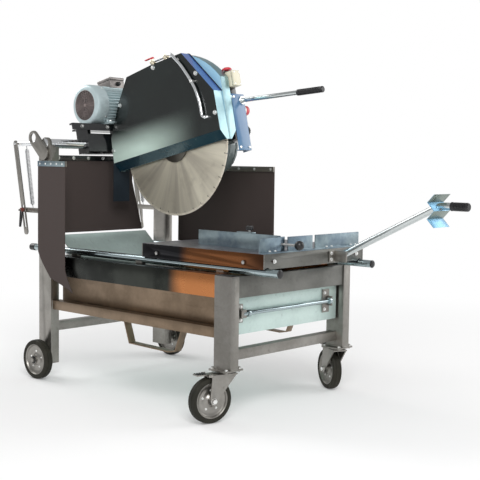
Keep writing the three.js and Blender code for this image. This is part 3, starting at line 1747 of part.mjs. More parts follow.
function motorPlate() {
  const bottom = motorPlateTop - motorPlateSheet;
  const plate = block(
    hubLeftX,
    motorPlateRightX,
    motorPlateFrontY,
    motorPlateRearY,
    bottom,
    motorPlateTop,
  );
  const flange = block(
    motorPlateLeftX,
    hubLeftX + overrun,
    motorPlateFrontY,
    motorPlateFrontY + motorPlateFlange,
    bottom,
    motorPlateTop,
  );
  const lip = block(
    motorPlateLeftX,
    motorPlateRightX,
    motorPlateFrontY,
    motorPlateFrontY + motorPlateSheet,
    motorPlateTop - motorPlateLip,
    motorPlateTop,
  );
  const centre = (motorPlateLeftX + hubLeftX) / 2;
  const bolts = [centre, centre + motorPlateBoltPitch].map((x) => rodY(
    motorPlateFrontY - boltHeadHeight,
    motorPlateFrontY + motorPlateSheet / 2,
    x,
    motorPlateTop - motorPlateLip / 2,
    boltHeadRadius,
    hexSides,
  ));
  return join([plate, flange, lip, ...bolts]);
}

function motorBody() {
  const outline = [];
  const tooth = (2 * Math.PI) / motorFins;
  for (let i = 0; i < motorFins; i += 1) {
    const angle = i * tooth;
    for (const [radius, turn] of [
      [motorRadius, finRootStartShare],
      [motorRadius, finRootEndShare],
      [motorRadius + motorFinHeight, finTipStartShare],
      [motorRadius + motorFinHeight, finTipEndShare],
    ]) {
      const corner = angle + turn * tooth;
      outline.push([motorY + radius * Math.cos(corner), motorZ + radius * Math.sin(corner)]);
    }
  }
  const endShield = motorFinHeight;
  const body = prismX(outline, motorBodyLeftX, motorBodyRightX - endShield);
  const shield = rodX(motorBodyRightX - endShield, motorBodyRightX, motorY, motorZ, motorRadius);
  const feet = [motorBodyLeftX + motorFootInset, motorBodyRightX - motorFootInset].map((x) => block(
    x - motorFootWidth / 2,
    x + motorFootWidth / 2,
    motorY - motorFootSpread / 2,
    motorY + motorFootSpread / 2,
    motorPlateTop + fit,
    motorPlateTop + motorFootHeight,
  ));
  const boxFoot = motorZ + motorRadius - overrun;
  const terminal = block(
    terminalBoxX - terminalBoxWidth / 2,
    terminalBoxX + terminalBoxWidth / 2,
    motorY - terminalBoxDepth / 2,
    motorY + terminalBoxDepth / 2,
    boxFoot,
    boxFoot + terminalBoxHeight,
  );
  const boreLeft = rodX(fanCoverLeftX, motorBodyRightX + overrun, motorY, motorZ, running(motorShaftRadius));
  return join([cut(join([body, shield, ...feet, terminal]), [boreLeft]), fanCover()]);
}

// The cover over the fan, with a ring of holes in its end
function fanCover() {
  const right = motorBodyLeftX + motorFinHeight;
  const inside = fanCoverLeftX + fanCoverSheet;
  const insideRadius = fanCoverRadius - fanCoverSheet;
  const shell = cut(rodX(fanCoverLeftX, right, motorY, motorZ, fanCoverRadius, wheelSides), [
    rodX(inside, right + overrun, motorY, motorZ, insideRadius, wheelSides),
  ]);
  const holes = [];
  for (let i = 0; i < grilleHoles; i += 1) {
    const angle = (2 * Math.PI * i) / grilleHoles;
    const y = motorY + grilleRingRadius * Math.cos(angle);
    const z = motorZ + grilleRingRadius * Math.sin(angle);
    holes.push(rodX(fanCoverLeftX - overrun, inside + overrun, y, z, grilleHoleRadius, smallSides));
  }
  return cut(shell, holes);
}

// The turning part of the motor: its shaft, the fan and the driving pulley
function motorRotor() {
  const pulleyRight = beltGuardX + beltGuardWidth - 4 * overrun;
  const fanLeft = fanCoverLeftX + fanCoverSheet + 2 * overrun;
  const shaft = rodX(fanLeft, pulleyRight, motorY, motorZ, motorShaftRadius);
  const pulley = rodX(pulleyRight - pulleyWidth, pulleyRight, motorY, motorZ, motorPulleyRadius);
  const hub = rodX(fanLeft, fanLeft + fanWidth, motorY, motorZ, fanHubRadius);
  const vanes = [];
  for (let i = 0; i < fanBlades; i += 1) {
    const half = fanVaneSheet / 2;
    const vane = block(fanLeft, fanLeft + fanWidth, motorY, motorY + fanRadius, motorZ - half, motorZ + half);
    const angle = (2 * Math.PI * i) / fanBlades;
    const turn = new THREE.Matrix4().makeTranslation(0, motorY, motorZ)
      .multiply(new THREE.Matrix4().makeRotationX(angle))
      .multiply(new THREE.Matrix4().makeTranslation(0, -motorY, -motorZ));
    vanes.push(vane.transform(turn.elements));
  }
  return join([shaft, pulley, hub, ...vanes]);
}

// The belt guard: a closed drum round both pulleys, with a hole for each shaft
function beltGuard() {
  const reach = [motorY - bladeY, motorZ - bladeZ];
  const length = Math.hypot(...reach);
  const heading = Math.atan2(reach[1], reach[0]);
  const outlineOf = (frontRadius, rearRadius) => {
    const spread = Math.acos((frontRadius - rearRadius) / length);
    const shape = new THREE.Shape();
    shape.absarc(bladeY, bladeZ, frontRadius, heading + spread, heading - spread + 2 * Math.PI, false);
    shape.absarc(motorY, motorZ, rearRadius, heading - spread, heading + spread, false);
    shape.closePath();
    return shape;
  };
  const right = beltGuardX + beltGuardWidth;
  const drum = prismX(outlineOf(beltGuardFrontRadius, beltGuardRearRadius), beltGuardX, right);
  const inside = outlineOf(beltGuardFrontRadius - beltGuardSheet, beltGuardRearRadius - beltGuardSheet);
  const hollow = prismX(inside, beltGuardX + beltGuardSheet, right - beltGuardSheet);
  const holes = [
    rodX(beltGuardX - overrun, beltGuardX + 2 * overrun, bladeY, bladeZ, guardShaftHole),
    rodX(beltGuardX - overrun, beltGuardX + 2 * overrun, motorY, motorZ, guardShaftHole),
  ];
  return cut(drum, [hollow, ...holes]);
}

function frontPanel() {
  const front = armFrontY - fit - panelSheet;
  const shell = join([
    block(panelLeftX, panelRightX, front, front + panelSheet, panelBottom, panelTop),
    block(panelRightX - panelSheet, panelRightX, front, front + panelReturn, panelBottom, panelTop),
    block(panelLeftX, panelRightX, front, front + panelFloorReturn, panelBottom, panelBottom + panelSheet),
  ]);
  const inletY = front + panelReturn / 2;
  const inlet = rodX(panelRightX - panelSheet, panelRightX + inletLength, inletY, inletZ, inletRadius);
  return join([shell, inlet]);
}

function sideKnob() {
  const start = panelRightX + fit;
  const y = armFrontY - fit - panelSheet + panelReturn / 2;
  return join([
    rodX(start, start + sideKnobLength, y, sideKnobZ, sideKnobRadius / 2),
    rodX(start + sideKnobNeck, start + sideKnobLength, y, sideKnobZ, sideKnobRadius),
  ]);
}

function switchBox() {
  const top = switchBoxBottom + switchBoxHeight;
  const box = block(
    switchBoxX - switchBoxWidth / 2,
    switchBoxX + switchBoxWidth / 2,
    switchBoxY - switchBoxDepth / 2,
    switchBoxY + switchBoxDepth / 2,
    switchBoxBottom,
    top,
  );
  const foot = block(
    switchBoxX - switchFootWidth / 2,
    switchBoxX + switchFootWidth / 2,
    armFrontY + fit,
    armFrontY + switchFootDepth,
    armFrontTop + fit,
    switchBoxBottom + overrun,
  );
  const collar = rodZ(top - overrun, top + stopCollarHeight, switchBoxX, stopY, stopCollarRadius);
  const well = rodZ(
    top - 2 * stopTravel,
    top + stopCollarHeight + overrun,
    switchBoxX,
    stopY,
    running(stopStemRadius),
  );
  return cut(join([box, foot, collar]), [well]);
}

// The mushroom head clears the collar by its own travel
function stopButton() {
  const collarTop = switchBoxBottom + switchBoxHeight + stopCollarHeight;
  const capFoot = collarTop + stopTravel + fit;
  const stemFoot = collarTop - stopCollarHeight / 2;
  return join([
    rodZ(stemFoot, capFoot + stopCapHeight / 2, switchBoxX, stopY, stopStemRadius),
    rodZ(capFoot, capFoot + stopCapHeight, switchBoxX, stopY, stopRadius),
  ]);
}

function operatingLever() {
  const face = armFrontY - fit - panelSheet;
  const slope = (handBaseZ - handEndZ) / (face - handEndY);
  const start = [handX, face - handFlangeThickness / 2, handBaseZ - slope * (handFlangeThickness / 2)];
  const flange = rodY(face - fit, face - fit - handFlangeThickness, handX, handBaseZ, handFlangeRadius);
  const stem = rodBetween(start, [handX, handEndY, handEndZ], handRadius);
  const grip = rodBetween([handX, handEndY, handEndZ], [handX, handTipY, handTipZ], handGripRadius);
  return join([flange, stem, grip]);
}

// The pipe's way down the guard, and its last bend, as shares of the blade's radius from its axis
const pipeRouteShares = [
  [-0.345, 1.164],
  [-0.508, 0.963],
  [-0.637, 0.745],
  [-0.709, 0.59],
  [-0.753, 0.397],
  [-0.759, 0.2],
];
const pipeElbowShares = [-0.8, 0.17];

// The water supply: a valve and a fitting on the guard's roof, and a pipe down its left face
function waterPipe() {
  const roof = bladeZ + guardOutlineShares[4][1] * bladeRadius;
  const foot = roof + fit;
  const z = roof + pipeTopRise;
  const half = valveSize / 2;
  const [left, right] = [pipeTopX - half, pipeTopX + half];
  const valve = block(left, right, valveY - half, valveY + half, foot, foot + valveHeight);
  const fitting = block(left, right, fittingY - half, fittingY + half, foot, foot + valveHeight);
  const link = rodY(fittingY, valveY, pipeTopX, z, pipeRadius, smallSides);
  const wall = bladeX - guardHalfWidth - fit;
  const route = pipeRouteShares.map(([u, v]) => [pipeX, bladeY + u * bladeRadius, bladeZ + v * bladeRadius]);
  const elbowY = bladeY + pipeElbowShares[0] * bladeRadius;
  const elbowZ = bladeZ + pipeElbowShares[1] * bladeRadius;
  const down = pipe([
    [pipeTopX, fittingY, z],
    [(pipeTopX + pipeX) / 2, fittingY - valveSize, z - pipeRadius / 4],
    ...route,
    [pipeX, elbowY, elbowZ],
    [pipeX, elbowY - 2 * pipeRadius, elbowZ],
  ], pipeRadius, pipeSteps);
  const end = rodX(pipeX, wall, elbowY - 2 * pipeRadius, elbowZ, pipeRadius, smallSides);
  return join([valve, fitting, link, down, end]);
}

function waterTap() {
  const foot = bladeZ + guardOutlineShares[4][1] * bladeRadius + valveHeight + 2 * fit;
  const top = foot + tapStemHeight;
  const half = tapWidth / 2;
  const tapEnd = valveY + tapLength;
  return join([
    rodZ(foot, top + tapThickness / 2, pipeTopX, valveY, tapStemRadius, smallSides),
    block(pipeTopX - half, pipeTopX + half, valveY - half, tapEnd, top, top + tapThickness),
  ]);
}

// The rubber flap: bolted behind the guard's rear edge, it hangs plumb while the head is up
function rearFlap() {
  const outline = guardOutline(false);
  const [corner, next] = outline;
  const length = Math.hypot(next[0] - corner[0], next[1] - corner[1]);
  const up = [(next[0] - corner[0]) / length, (next[1] - corner[1]) / length];
  const out = [up[1], -up[0]];
  const down = turned([0, -1], [0, 0], headTilt);
  const behind = [-down[1], down[0]];
  const foot = [corner[0] + out[0] * 2 * fit, corner[1] + out[1] * 2 * fit];
  const place = (from, direction, distance, aside, gap) => [
    from[0] + direction[0] * distance + aside[0] * gap,
    from[1] + direction[1] * distance + aside[1] * gap,
  ];
  return prismX([
    place(foot, up, flapOverlap, out, 0),
    foot,
    place(foot, down, flapLength, behind, 0),
    place(foot, down, flapLength, behind, flapSheet),
    place(foot, up, 0, out, flapSheet),
    place(foot, up, flapOverlap, out, flapSheet),
  ], bladeX - guardHalfWidth, bladeX + guardHalfWidth);
}

// The assembled saw
const saw = new THREE.Group();

for (const { name, side } of sides) {
  addPiece(saw, `front_leg_${name}`, frontLeg(side), zinc);
  addPiece(saw, `rear_post_${name}`, rearPost(side), zinc);
  addPiece(saw, `lifting_eye_${name}`, liftingEye(side), zinc);
  addPiece(saw, `side_beam_${name}`, sideBeam(side), zinc);
  addPiece(saw, `lower_beam_${name}`, lowerBeam(side), zinc);
  addPiece(saw, `table_rail_${name}`, tableRail(side), chrome);
}
addPiece(saw, 'front_beam', frontBeam(), zinc);
addPiece(saw, 'front_crossbar', frontCrossbar(), zinc);
addPiece(saw, 'rear_crossbar', rearCrossbar(), zinc);
addPiece(saw, 'water_tray', waterTray(), zinc);
addPiece(saw, 'front_bar', frontBar(), chrome);
addPiece(saw, 'rear_hanger', rearHanger(), zinc);
addPiece(saw, 'curtain_left', leftCurtain(), rubber);
addPiece(saw, 'curtain_rear', rearCurtain(), rubber);
addPiece(saw, 'curtain_right', rightCurtain(), rubber);

// Depth gear
for (const { name, side } of sides) {
  addPiece(saw, `clamp_handle_${name}`, clampHandle(side), blackPlastic);
  addPiece(saw, `depth_bar_${name}`, depthBar(side), zinc);
  addPiece(saw, `spring_${name}`, spring(side), chrome);
}
addPiece(saw, 'pivot_shaft', pivotShaft(), chrome);

// Rear wheels on fixed stubs, and front wheels in casters that turn about their king pins
for (const { name, side } of sides) {
  const rearWheel = wheel(side * rearWheelX, rearAxleY, wheelRadius, rearAxleRadius);
  addPiece(saw, `rear_wheel_${name}`, rearWheel, tyreBlack);
  const caster = new THREE.Group();
  caster.position.set(side * legCentreX, casterY, 0);
  caster.rotation.z = THREE.MathUtils.degToRad(side < 0 ? leftCasterAngle : rightCasterAngle);
  addPiece(caster, `caster_fork_${name}`, casterFork(), zinc);
  addPiece(caster, `caster_wheel_${name}`, wheel(0, casterTrail, wheelRadius, axleRadius), tyreBlack);
  addPiece(caster, `brake_pedal_${name}`, brakePedal(), zinc);
  saw.add(caster);
}

// Rolling table
addPiece(saw, 'table', tableBody(), zinc);
addPiece(saw, 'rollers_front', rollerPair(rollerFrontY), steel);
addPiece(saw, 'rollers_rear', rollerPair(rollerRearY), steel);
addPiece(saw, 'cross_fence', crossFence(), zinc);
addPiece(saw, 'side_fence', sideFence(), zinc);
addPiece(saw, 'clamp_screw', clampScrew(), chrome);
addPiece(saw, 'fence_knob', fenceKnob(), blackPlastic);
addPiece(saw, 'push_handle', pushHandle(), zinc);

// Saw head, turned about the pivot shaft into its raised position
const head = new THREE.Group();
head.position.set(0, pivotY, pivotZ);
head.rotation.x = -THREE.MathUtils.degToRad(headTilt);
const level = new THREE.Group();
level.position.set(0, -pivotY, -pivotZ);
head.add(level);
saw.add(head);
addPiece(level, 'head_arm', headArm(), blackPaint);
addPiece(level, 'guard_left', guardLeft(), darkGreen);
addPiece(level, 'guard_right', guardRight(), darkGreen);
addPiece(level, 'blade', blade(), steel);
addPiece(level, 'blade_shaft', bladeShaft(), steel);
addPiece(level, 'belt_guard', beltGuard(), greyPaint);
addPiece(level, 'motor', motorBody(), greyPaint);
addPiece(level, 'motor_rotor', motorRotor(), steel);
addPiece(level, 'front_panel', frontPanel(), blueGrey);
addPiece(level, 'side_knob', sideKnob(), blackPlastic);
addPiece(level, 'switch_box', switchBox(), cream);
addPiece(level, 'stop_button', stopButton(), signalRed);
addPiece(level, 'operating_lever', operatingLever(), chrome);
addPiece(level, 'water_pipe', waterPipe(), steel);
addPiece(level, 'water_tap', waterTap(), signalRed);
addPiece(level, 'rear_flap', rearFlap(), rubber);

console.log(`least gap between spring curls: ${leastSpringGap().toFixed(2)} mm`);

// The saw stands on its wheels, centred over its footprint
const stand = new THREE.Group();
stand.add(saw);
stand.updateMatrixWorld(true);
const bounds = new THREE.Box3().setFromObject(saw, true);
saw.position.set(-(bounds.min.x + bounds.max.x) / 2, -(bounds.min.y + bounds.max.y) / 2, -bounds.min.z);
stand.updateMatrixWorld(true);

export default stand;
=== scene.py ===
"""Looks of a masonry saw: a wheeled zinc-plated stand, a rolling table, and a raised saw head.

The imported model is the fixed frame. Sizes below are in millimetres, in the drawing frame of the stand:
X to the right of the saw, Y towards its rear, Z up from the floor. Head pieces are drawn with the head
level and then turned to its raised position.
"""

from __future__ import annotations

import logging
import math
from dataclasses import dataclass
from enum import Enum
from typing import Callable, Iterable, Sequence

import bpy
from mathutils import Matrix, Vector

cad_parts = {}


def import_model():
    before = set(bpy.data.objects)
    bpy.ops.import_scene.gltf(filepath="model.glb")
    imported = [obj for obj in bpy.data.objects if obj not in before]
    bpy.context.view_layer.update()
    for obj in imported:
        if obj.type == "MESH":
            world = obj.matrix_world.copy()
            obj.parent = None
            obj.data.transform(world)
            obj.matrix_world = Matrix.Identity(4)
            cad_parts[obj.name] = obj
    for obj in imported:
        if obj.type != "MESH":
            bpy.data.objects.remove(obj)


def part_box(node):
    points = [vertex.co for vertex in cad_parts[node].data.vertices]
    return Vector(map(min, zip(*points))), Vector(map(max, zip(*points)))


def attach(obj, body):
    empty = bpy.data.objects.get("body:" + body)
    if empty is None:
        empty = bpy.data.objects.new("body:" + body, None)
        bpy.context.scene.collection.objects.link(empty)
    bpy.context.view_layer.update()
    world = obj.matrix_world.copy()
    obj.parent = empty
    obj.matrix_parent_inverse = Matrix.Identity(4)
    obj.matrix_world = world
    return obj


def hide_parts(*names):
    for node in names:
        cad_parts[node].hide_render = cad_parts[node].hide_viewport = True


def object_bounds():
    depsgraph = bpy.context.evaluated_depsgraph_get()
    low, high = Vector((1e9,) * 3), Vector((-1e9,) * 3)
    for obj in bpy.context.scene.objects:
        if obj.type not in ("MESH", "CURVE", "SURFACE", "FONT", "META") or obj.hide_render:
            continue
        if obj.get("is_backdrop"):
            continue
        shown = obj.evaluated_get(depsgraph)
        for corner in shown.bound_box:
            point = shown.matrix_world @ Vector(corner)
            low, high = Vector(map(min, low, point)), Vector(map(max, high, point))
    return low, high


log = logging.getLogger("masonry_saw")

MM = 0.001
Point = tuple[float, float, float]
Flat = tuple[float, float]
Placing = tuple[Point, Point]
Colour = tuple[float, float, float]


class Axis(Enum):
    """The direction in which a round or flat piece is drawn."""

    X = 0
    Y = 1
    Z = 2


# Shader building


class Wire:
    """A number socket of a material, on which Python sums add Math nodes."""

    def __init__(self, recipe: "Recipe", socket: bpy.types.NodeSocket) -> None:
        """Keeps the socket and the recipe that it belongs to."""
        self.recipe = recipe
        self.socket = socket

    def _sum(self, operation: str, first: "Wire | float", second: "Wire | float") -> "Wire":
        """Adds one Math node.

        Args:
            operation: the Math node's operation.
            first: the left value.
            second: the right value.

        Returns:
            The node's result.
        """
        made = self.recipe.node("ShaderNodeMath", {"operation": operation}, {0: first, 1: second})
        return Wire(self.recipe, made.outputs[0])

    def __add__(self, other: "Wire | float") -> "Wire":
        """Returns self + other."""
        return self._sum("ADD", self, other)

    def __radd__(self, other: float) -> "Wire":
        """Returns other + self."""
        return self._sum("ADD", other, self)

    def __sub__(self, other: "Wire | float") -> "Wire":
        """Returns self - other."""
        return self._sum("SUBTRACT", self, other)

    def __rsub__(self, other: float) -> "Wire":
        """Returns other - self."""
        return self._sum("SUBTRACT", other, self)

    def __mul__(self, other: "Wire | float") -> "Wire":
        """Returns self * other."""
        return self._sum("MULTIPLY", self, other)

    def turn(self, other: "Wire") -> "Wire":
        """Returns the angle of the direction (other, self), in radians."""
        return self._sum("ARCTAN2", self, other)

    def reach(self, other: "Wire") -> "Wire":
        """Returns the length of the direction (other, self)."""
        squares = self * self + other * other
        return squares._sum("POWER", squares, 0.5)

    def step(self, low: float, high: float) -> "Wire":
        """Rises smoothly from 0 at low to 1 at high.

        Args:
            low: the value at which the result is 0.
            high: the value at which the result is 1.

        Returns:
            The share between 0 and 1.
        """
        made = self.recipe.node(
            "ShaderNodeMapRange",
            {"interpolation_type": "SMOOTHSTEP"},
            {"Value": self, "From Min": low, "From Max": high},
        )
        return Wire(self.recipe, made.outputs[0])


Paint = "Colour | Wire | bpy.types.NodeSocket"


class Recipe:
    """The node tree of one material."""

    def __init__(self, name: str) -> None:
        """Starts a material with that name and an empty tree."""
        self.material = bpy.data.materials.new(name)
        self.material.use_nodes = True
        self.tree = self.material.node_tree
        self.tree.nodes.clear()
        place = self.node("ShaderNodeTexCoord", {}, {})
        self.place = place.outputs["Object"]

    def node(self, kind: str, settings: dict, values: dict) -> bpy.types.Node:
        """Adds a node.

        Args:
            kind: the node's type.
            settings: its settings, such as an operation, set first.
            values: values or links of its sockets, by name or number.

        Returns:
            The node.
        """
        made = self.tree.nodes.new(kind)
        for key, value in settings.items():
            setattr(made, key, value)
        for key, value in values.items():
            socket = made.inputs[key]
            if isinstance(value, Wire):
                self.tree.links.new(value.socket, socket)
            elif isinstance(value, bpy.types.NodeSocket):
                self.tree.links.new(value, socket)
            elif isinstance(value, tuple) and socket.type == "RGBA":
                socket.default_value = (*value, 1.0)
            else:
                socket.default_value = value
        return made

    def axes(self) -> tuple[Wire, Wire, Wire]:
        """Returns the X, Y and Z of the surface point, in metres."""
        split = self.node("ShaderNodeSeparateXYZ", {}, {0: self.place})
        return tuple(Wire(self, split.outputs[i]) for i in range(3))

    def joined(self, x: Wire | float, y: Wire | float, z: Wire | float) -> bpy.types.NodeSocket:
        """Returns the vector of three numbers."""
        return self.node("ShaderNodeCombineXYZ", {}, {0: x, 1: y, 2: z}).outputs[0]

    def stretched(self, scales: Point) -> bpy.types.NodeSocket:
        """Returns the surface point with each axis scaled."""
        return self.node("ShaderNodeMapping", {}, {"Vector": self.place, "Scale": scales}).outputs[0]

    def noise(
        self,
        scale: float,
        detail: float = 3.0,
        rough: float = 0.5,
        where: bpy.types.NodeSocket | None = None,
    ) -> Wire:
        """Returns a noise value between about 0 and 1.

        Args:
            scale: repeats in a metre.
            detail: octaves.
            rough: how strong the finer octaves are.
            where: the vector it reads, or None for the surface point.

        Returns:
            The noise.
        """
        made = self.node(
            "ShaderNodeTexNoise",
            {},
            {"Vector": where or self.place, "Scale": scale, "Detail": detail, "Roughness": rough},
        )
        return Wire(self, made.outputs[0])

    def cells(self, scale: float) -> Wire:
        """Returns a value that differs from crystal to crystal."""
        made = self.node("ShaderNodeTexVoronoi", {}, {"Vector": self.place, "Scale": scale})
        split = self.node("ShaderNodeSeparateColor", {}, {0: made.outputs["Color"]})
        return Wire(self, split.outputs[0])

    def blend(self, share: Wire | float, first: Paint, second: Paint) -> bpy.types.NodeSocket:
        """Mixes two colours.

        Args:
            share: how much of the second, from 0 to 1.
            first: a colour.
            second: another colour.

        Returns:
            The mixed colour's socket.
        """
        made = self.node("ShaderNodeMix", {"data_type": "RGBA"}, {0: share, 6: first, 7: second})
        return made.outputs[2]

    def bump(self, height: Wire, strength: float, distance: float) -> bpy.types.NodeSocket:
        """Returns a normal bent by a height in metres times distance."""
        return self.node(
            "ShaderNodeBump", {}, {"Height": height, "Strength": strength, "Distance": distance}
        ).outputs[0]

    def surface(self, **sockets: object) -> bpy.types.Material:
        """Ends the tree in a Principled shader.

        Args:
            **sockets: its sockets by name, with _ for a space.

        Returns:
            The material.
        """
        values = {name.replace("_", " "): value for name, value in sockets.items()}
        shader = self.node("ShaderNodeBsdfPrincipled", {}, values)
        self.node("ShaderNodeOutputMaterial", {}, {"Surface": shader.outputs[0]})
        return self.material


@dataclass(frozen=True)
class Finish:
    """A finish of the saw, with the record's slot that it belongs to."""

    name: str
    slot: str
    base: Colour
    second: Colour
    roughness: float = 0.4
    metallic: float = 0.0
    coat: float = 0.0

    def material(self) -> bpy.types.Material:
        """Returns the finish's material, made on the first call."""
        found = bpy.data.materials.get(self.name)
        return found or self.mix(Recipe(self.name))

    def mix(self, recipe: Recipe) -> bpy.types.Material:
        """Ends the recipe with this finish's surface."""
        raise NotImplementedError


@dataclass(frozen=True)
class Plating(Finish):
    """Bright zinc plate: crystal spangle, clouded stain, drawn streaks and fine rubs."""

    metallic: float = 1.0
    roughness: float = 0.24
    spangle: float = 90.0
    stain: float = 0.5

    def mix(self, recipe: Recipe) -> bpy.types.Material:
        """Ends the recipe with a clouded metal."""
        cloud = recipe.noise(5.0, 4.0, 0.6).step(0.38, 0.66)
        streak = recipe.noise(14.0, 4.0, 0.65, recipe.stretched((3.0, 0.35, 3.0)))
        crystal = recipe.cells(self.spangle)
        rub = recipe.noise(220.0, 2.0, 0.7, recipe.stretched((1.0, 0.12, 1.0)))
        clean = recipe.blend(crystal * 0.16 + cloud * self.stain, self.base, self.second)
        dark = tuple(0.45 * part for part in self.second)
        colour = recipe.blend(streak.step(0.58, 0.8) * 0.45, clean, dark)
        rough = self.roughness + cloud * 0.1 + streak * 0.12 + rub * 0.08
        height = recipe.noise(30.0, 3.0) * 0.5 + crystal * 0.06 + rub * 0.2
        return recipe.surface(
            Base_Color=colour,
            Metallic=self.metallic,
            Roughness=rough,
            Normal=recipe.bump(height, 0.22, 0.0006),
        )


@dataclass(frozen=True)
class SideZinc(Plating):
    """Smooth dark zinc plate with a broad copper-brown painted reflection towards the saw's front."""

    painted_copper_reflection: Colour = (0.5, 0.2, 0.075)
    painted_copper_reflection_rear: float = -0.02
    painted_copper_reflection_front: float = -0.42

    def mix(self, recipe: Recipe) -> bpy.types.Material:
        """Ends the recipe with a plate that is dark at the rear and has a copper-brown painted reflection in
        front.
        """
        along = recipe.axes()[1] + (recipe.noise(3.0, 2.0, 0.5) - 0.5) * 0.16
        # A painted copper-brown reflection over the front part of the plate, mixed into its colour.
        painted_reflection_field = 1.0 - along.step(self.painted_copper_reflection_rear - 0.07, self.painted_copper_reflection_rear + 0.03)
        fade = along.step(self.painted_copper_reflection_front - 0.1, self.painted_copper_reflection_front + 0.05) * 0.6 + 0.4
        cloud = recipe.noise(4.0, 4.0, 0.6).step(0.35, 0.7)
        rub = recipe.noise(220.0, 2.0, 0.7, recipe.stretched((1.0, 0.12, 1.0)))
        plain = recipe.blend(cloud, self.base, self.second)
        return recipe.surface(
            Base_Color=recipe.blend(painted_reflection_field * fade, plain, self.painted_copper_reflection),
            Metallic=self.metallic,
            Roughness=self.roughness + cloud * 0.08 + rub * 0.06,
            Normal=recipe.bump(rub, 0.15, 0.0004),
        )


@dataclass(frozen=True)
class Drawn(Finish):
    """Bright drawn bar or tube, polished along its length with small dull spots."""

    metallic: float = 1.0
    roughness: float = 0.12

    def mix(self, recipe: Recipe) -> bpy.types.Material:
        """Ends the recipe with a polished metal."""
        spots = recipe.noise(70.0, 4.0, 0.7).step(0.56, 0.74)
        lines = recipe.noise(260.0, 2.0, 0.6, recipe.stretched((1.0, 0.05, 1.0)))
        colour = recipe.blend(spots * 0.5, self.base, self.second)
        return recipe.surface(
            Base_Color=colour,
            Metallic=self.metallic,
            Roughness=self.roughness + spots * 0.2 + lines * 0.08,
            Normal=recipe.bump(lines + spots * 0.3, 0.12, 0.0003),
        )


@dataclass(frozen=True)
class Enamel(Finish):
    """Stoved gloss paint over sheet: orange peel, a patchy dust film and rubbed specks."""

    roughness: float = 0.22
    coat: float = 0.9
    dust: Colour = (0.3, 0.33, 0.3)
    haze: float = 0.16

    def mix(self, recipe: Recipe) -> bpy.types.Material:
        """Ends the recipe with a coated paint."""
        cloud = recipe.noise(3.2, 3.0, 0.5).step(0.3, 0.75)
        specks = recipe.noise(150.0, 3.0, 0.6).step(0.66, 0.72)
        peel = recipe.noise(420.0, 2.0, 0.5)
        film = recipe.noise(22.0, 5.0, 0.7).step(0.45, 0.8) * self.haze
        paint = recipe.blend(cloud, self.base, self.second)
        worn = recipe.blend(film + specks * 0.1, paint, self.dust)
        return recipe.surface(
            Base_Color=worn,
            Roughness=self.roughness + film * 0.8 + cloud * 0.06,
            Metallic=self.metallic,
            Coat_Weight=self.coat,
            Coat_Roughness=0.07,
            Normal=recipe.bump(peel, 0.07, 0.0004),
        )


@dataclass(frozen=True)
class GuardEnamel(Enamel):
    """The guard's black-green gloss, with a pale painted reflection of the bright tray in its lower rear
    corner.
    """

    painted_tray_reflection_colour: Colour = (0.62, 0.78, 0.7)
    painted_tray_reflection_y: float = 0.7
    painted_tray_reflection_z: float = 1.2

    def mix(self, recipe: Recipe) -> bpy.types.Material:
        """Ends the recipe with a coated paint that has a pale painted reflection in one corner."""
        _across, along, up = recipe.axes()
        rise = up + (along - self.painted_tray_reflection_y) * 0.22
        low = 1.0 - rise.step(self.painted_tray_reflection_z - 0.06, self.painted_tray_reflection_z + 0.1)
        rear = along.step(0.18, 0.66)
        wisps = recipe.noise(7.0, 3.0, 0.5, recipe.stretched((1.0, 0.7, 1.6)))
        # bloom is a painted reflection: the bright tray mirrored in the lower rear corner, mixed into the
        # base colour.
        bloom = low * rear * (0.8 + wisps * 0.4)
        cloud = recipe.noise(3.0, 3.0, 0.5).step(0.3, 0.75)
        peel = recipe.noise(420.0, 2.0, 0.5)
        film = recipe.noise(26.0, 5.0, 0.7).step(0.5, 0.85) * self.haze
        paint = recipe.blend(cloud, self.base, self.second)
        hazed = recipe.blend(film, paint, self.dust)
        return recipe.surface(
            Base_Color=recipe.blend(bloom, hazed, self.painted_tray_reflection_colour),
            Roughness=self.roughness + film * 0.7,
            Metallic=self.metallic,
            Coat_Weight=self.coat,
            Coat_Roughness=0.05,
            Normal=recipe.bump(peel, 0.05, 0.0004),
        )


@dataclass(frozen=True)
class Rubber(Finish):
    """Reinforced sheet rubber or tyre rubber: fine grain, chalky bloom and scuffs."""

    roughness: float = 0.5
    grain: float = 500.0

    def mix(self, recipe: Recipe) -> bpy.types.Material:
        """Ends the recipe with a dull dark rubber."""
        grain = recipe.noise(self.grain, 3.0, 0.6)
        bloom = recipe.noise(6.0, 5.0, 0.65).step(0.42, 0.72)
        drips = recipe.noise(30.0, 4.0, 0.6, recipe.stretched((1.0, 1.0, 0.12))).step(0.55, 0.8)
        dusted = recipe.blend(bloom * 0.6 + drips * 0.3, self.base, self.second)
        return recipe.surface(
            Base_Color=recipe.blend(grain.step(0.6, 0.85) * 0.25, dusted, self.second),
            Roughness=self.roughness + bloom * 0.14 + grain * 0.1,
            Normal=recipe.bump(grain + drips * 0.2, 0.3, 0.0005),
            Specular_IOR_Level=0.22,
        )


@dataclass(frozen=True)
class Moulded(Finish):
    """Moulded plastic: a fine spark texture, softly clouded gloss and shiny rubs."""

    roughness: float = 0.38
    coat: float = 0.0

    def mix(self, recipe: Recipe) -> bpy.types.Material:
        """Ends the recipe with a plastic."""
        spark = recipe.noise(900.0, 2.0, 0.6)
        rubs = recipe.noise(40.0, 4.0, 0.65).step(0.55, 0.78)
        return recipe.surface(
            Base_Color=recipe.blend(rubs * 0.5, self.base, self.second),
            Roughness=self.roughness - rubs * 0.1 + spark * 0.06,
            Coat_Weight=self.coat,
            Coat_Roughness=0.12,
            Normal=recipe.bump(spark, 0.15, 0.0003),
        )


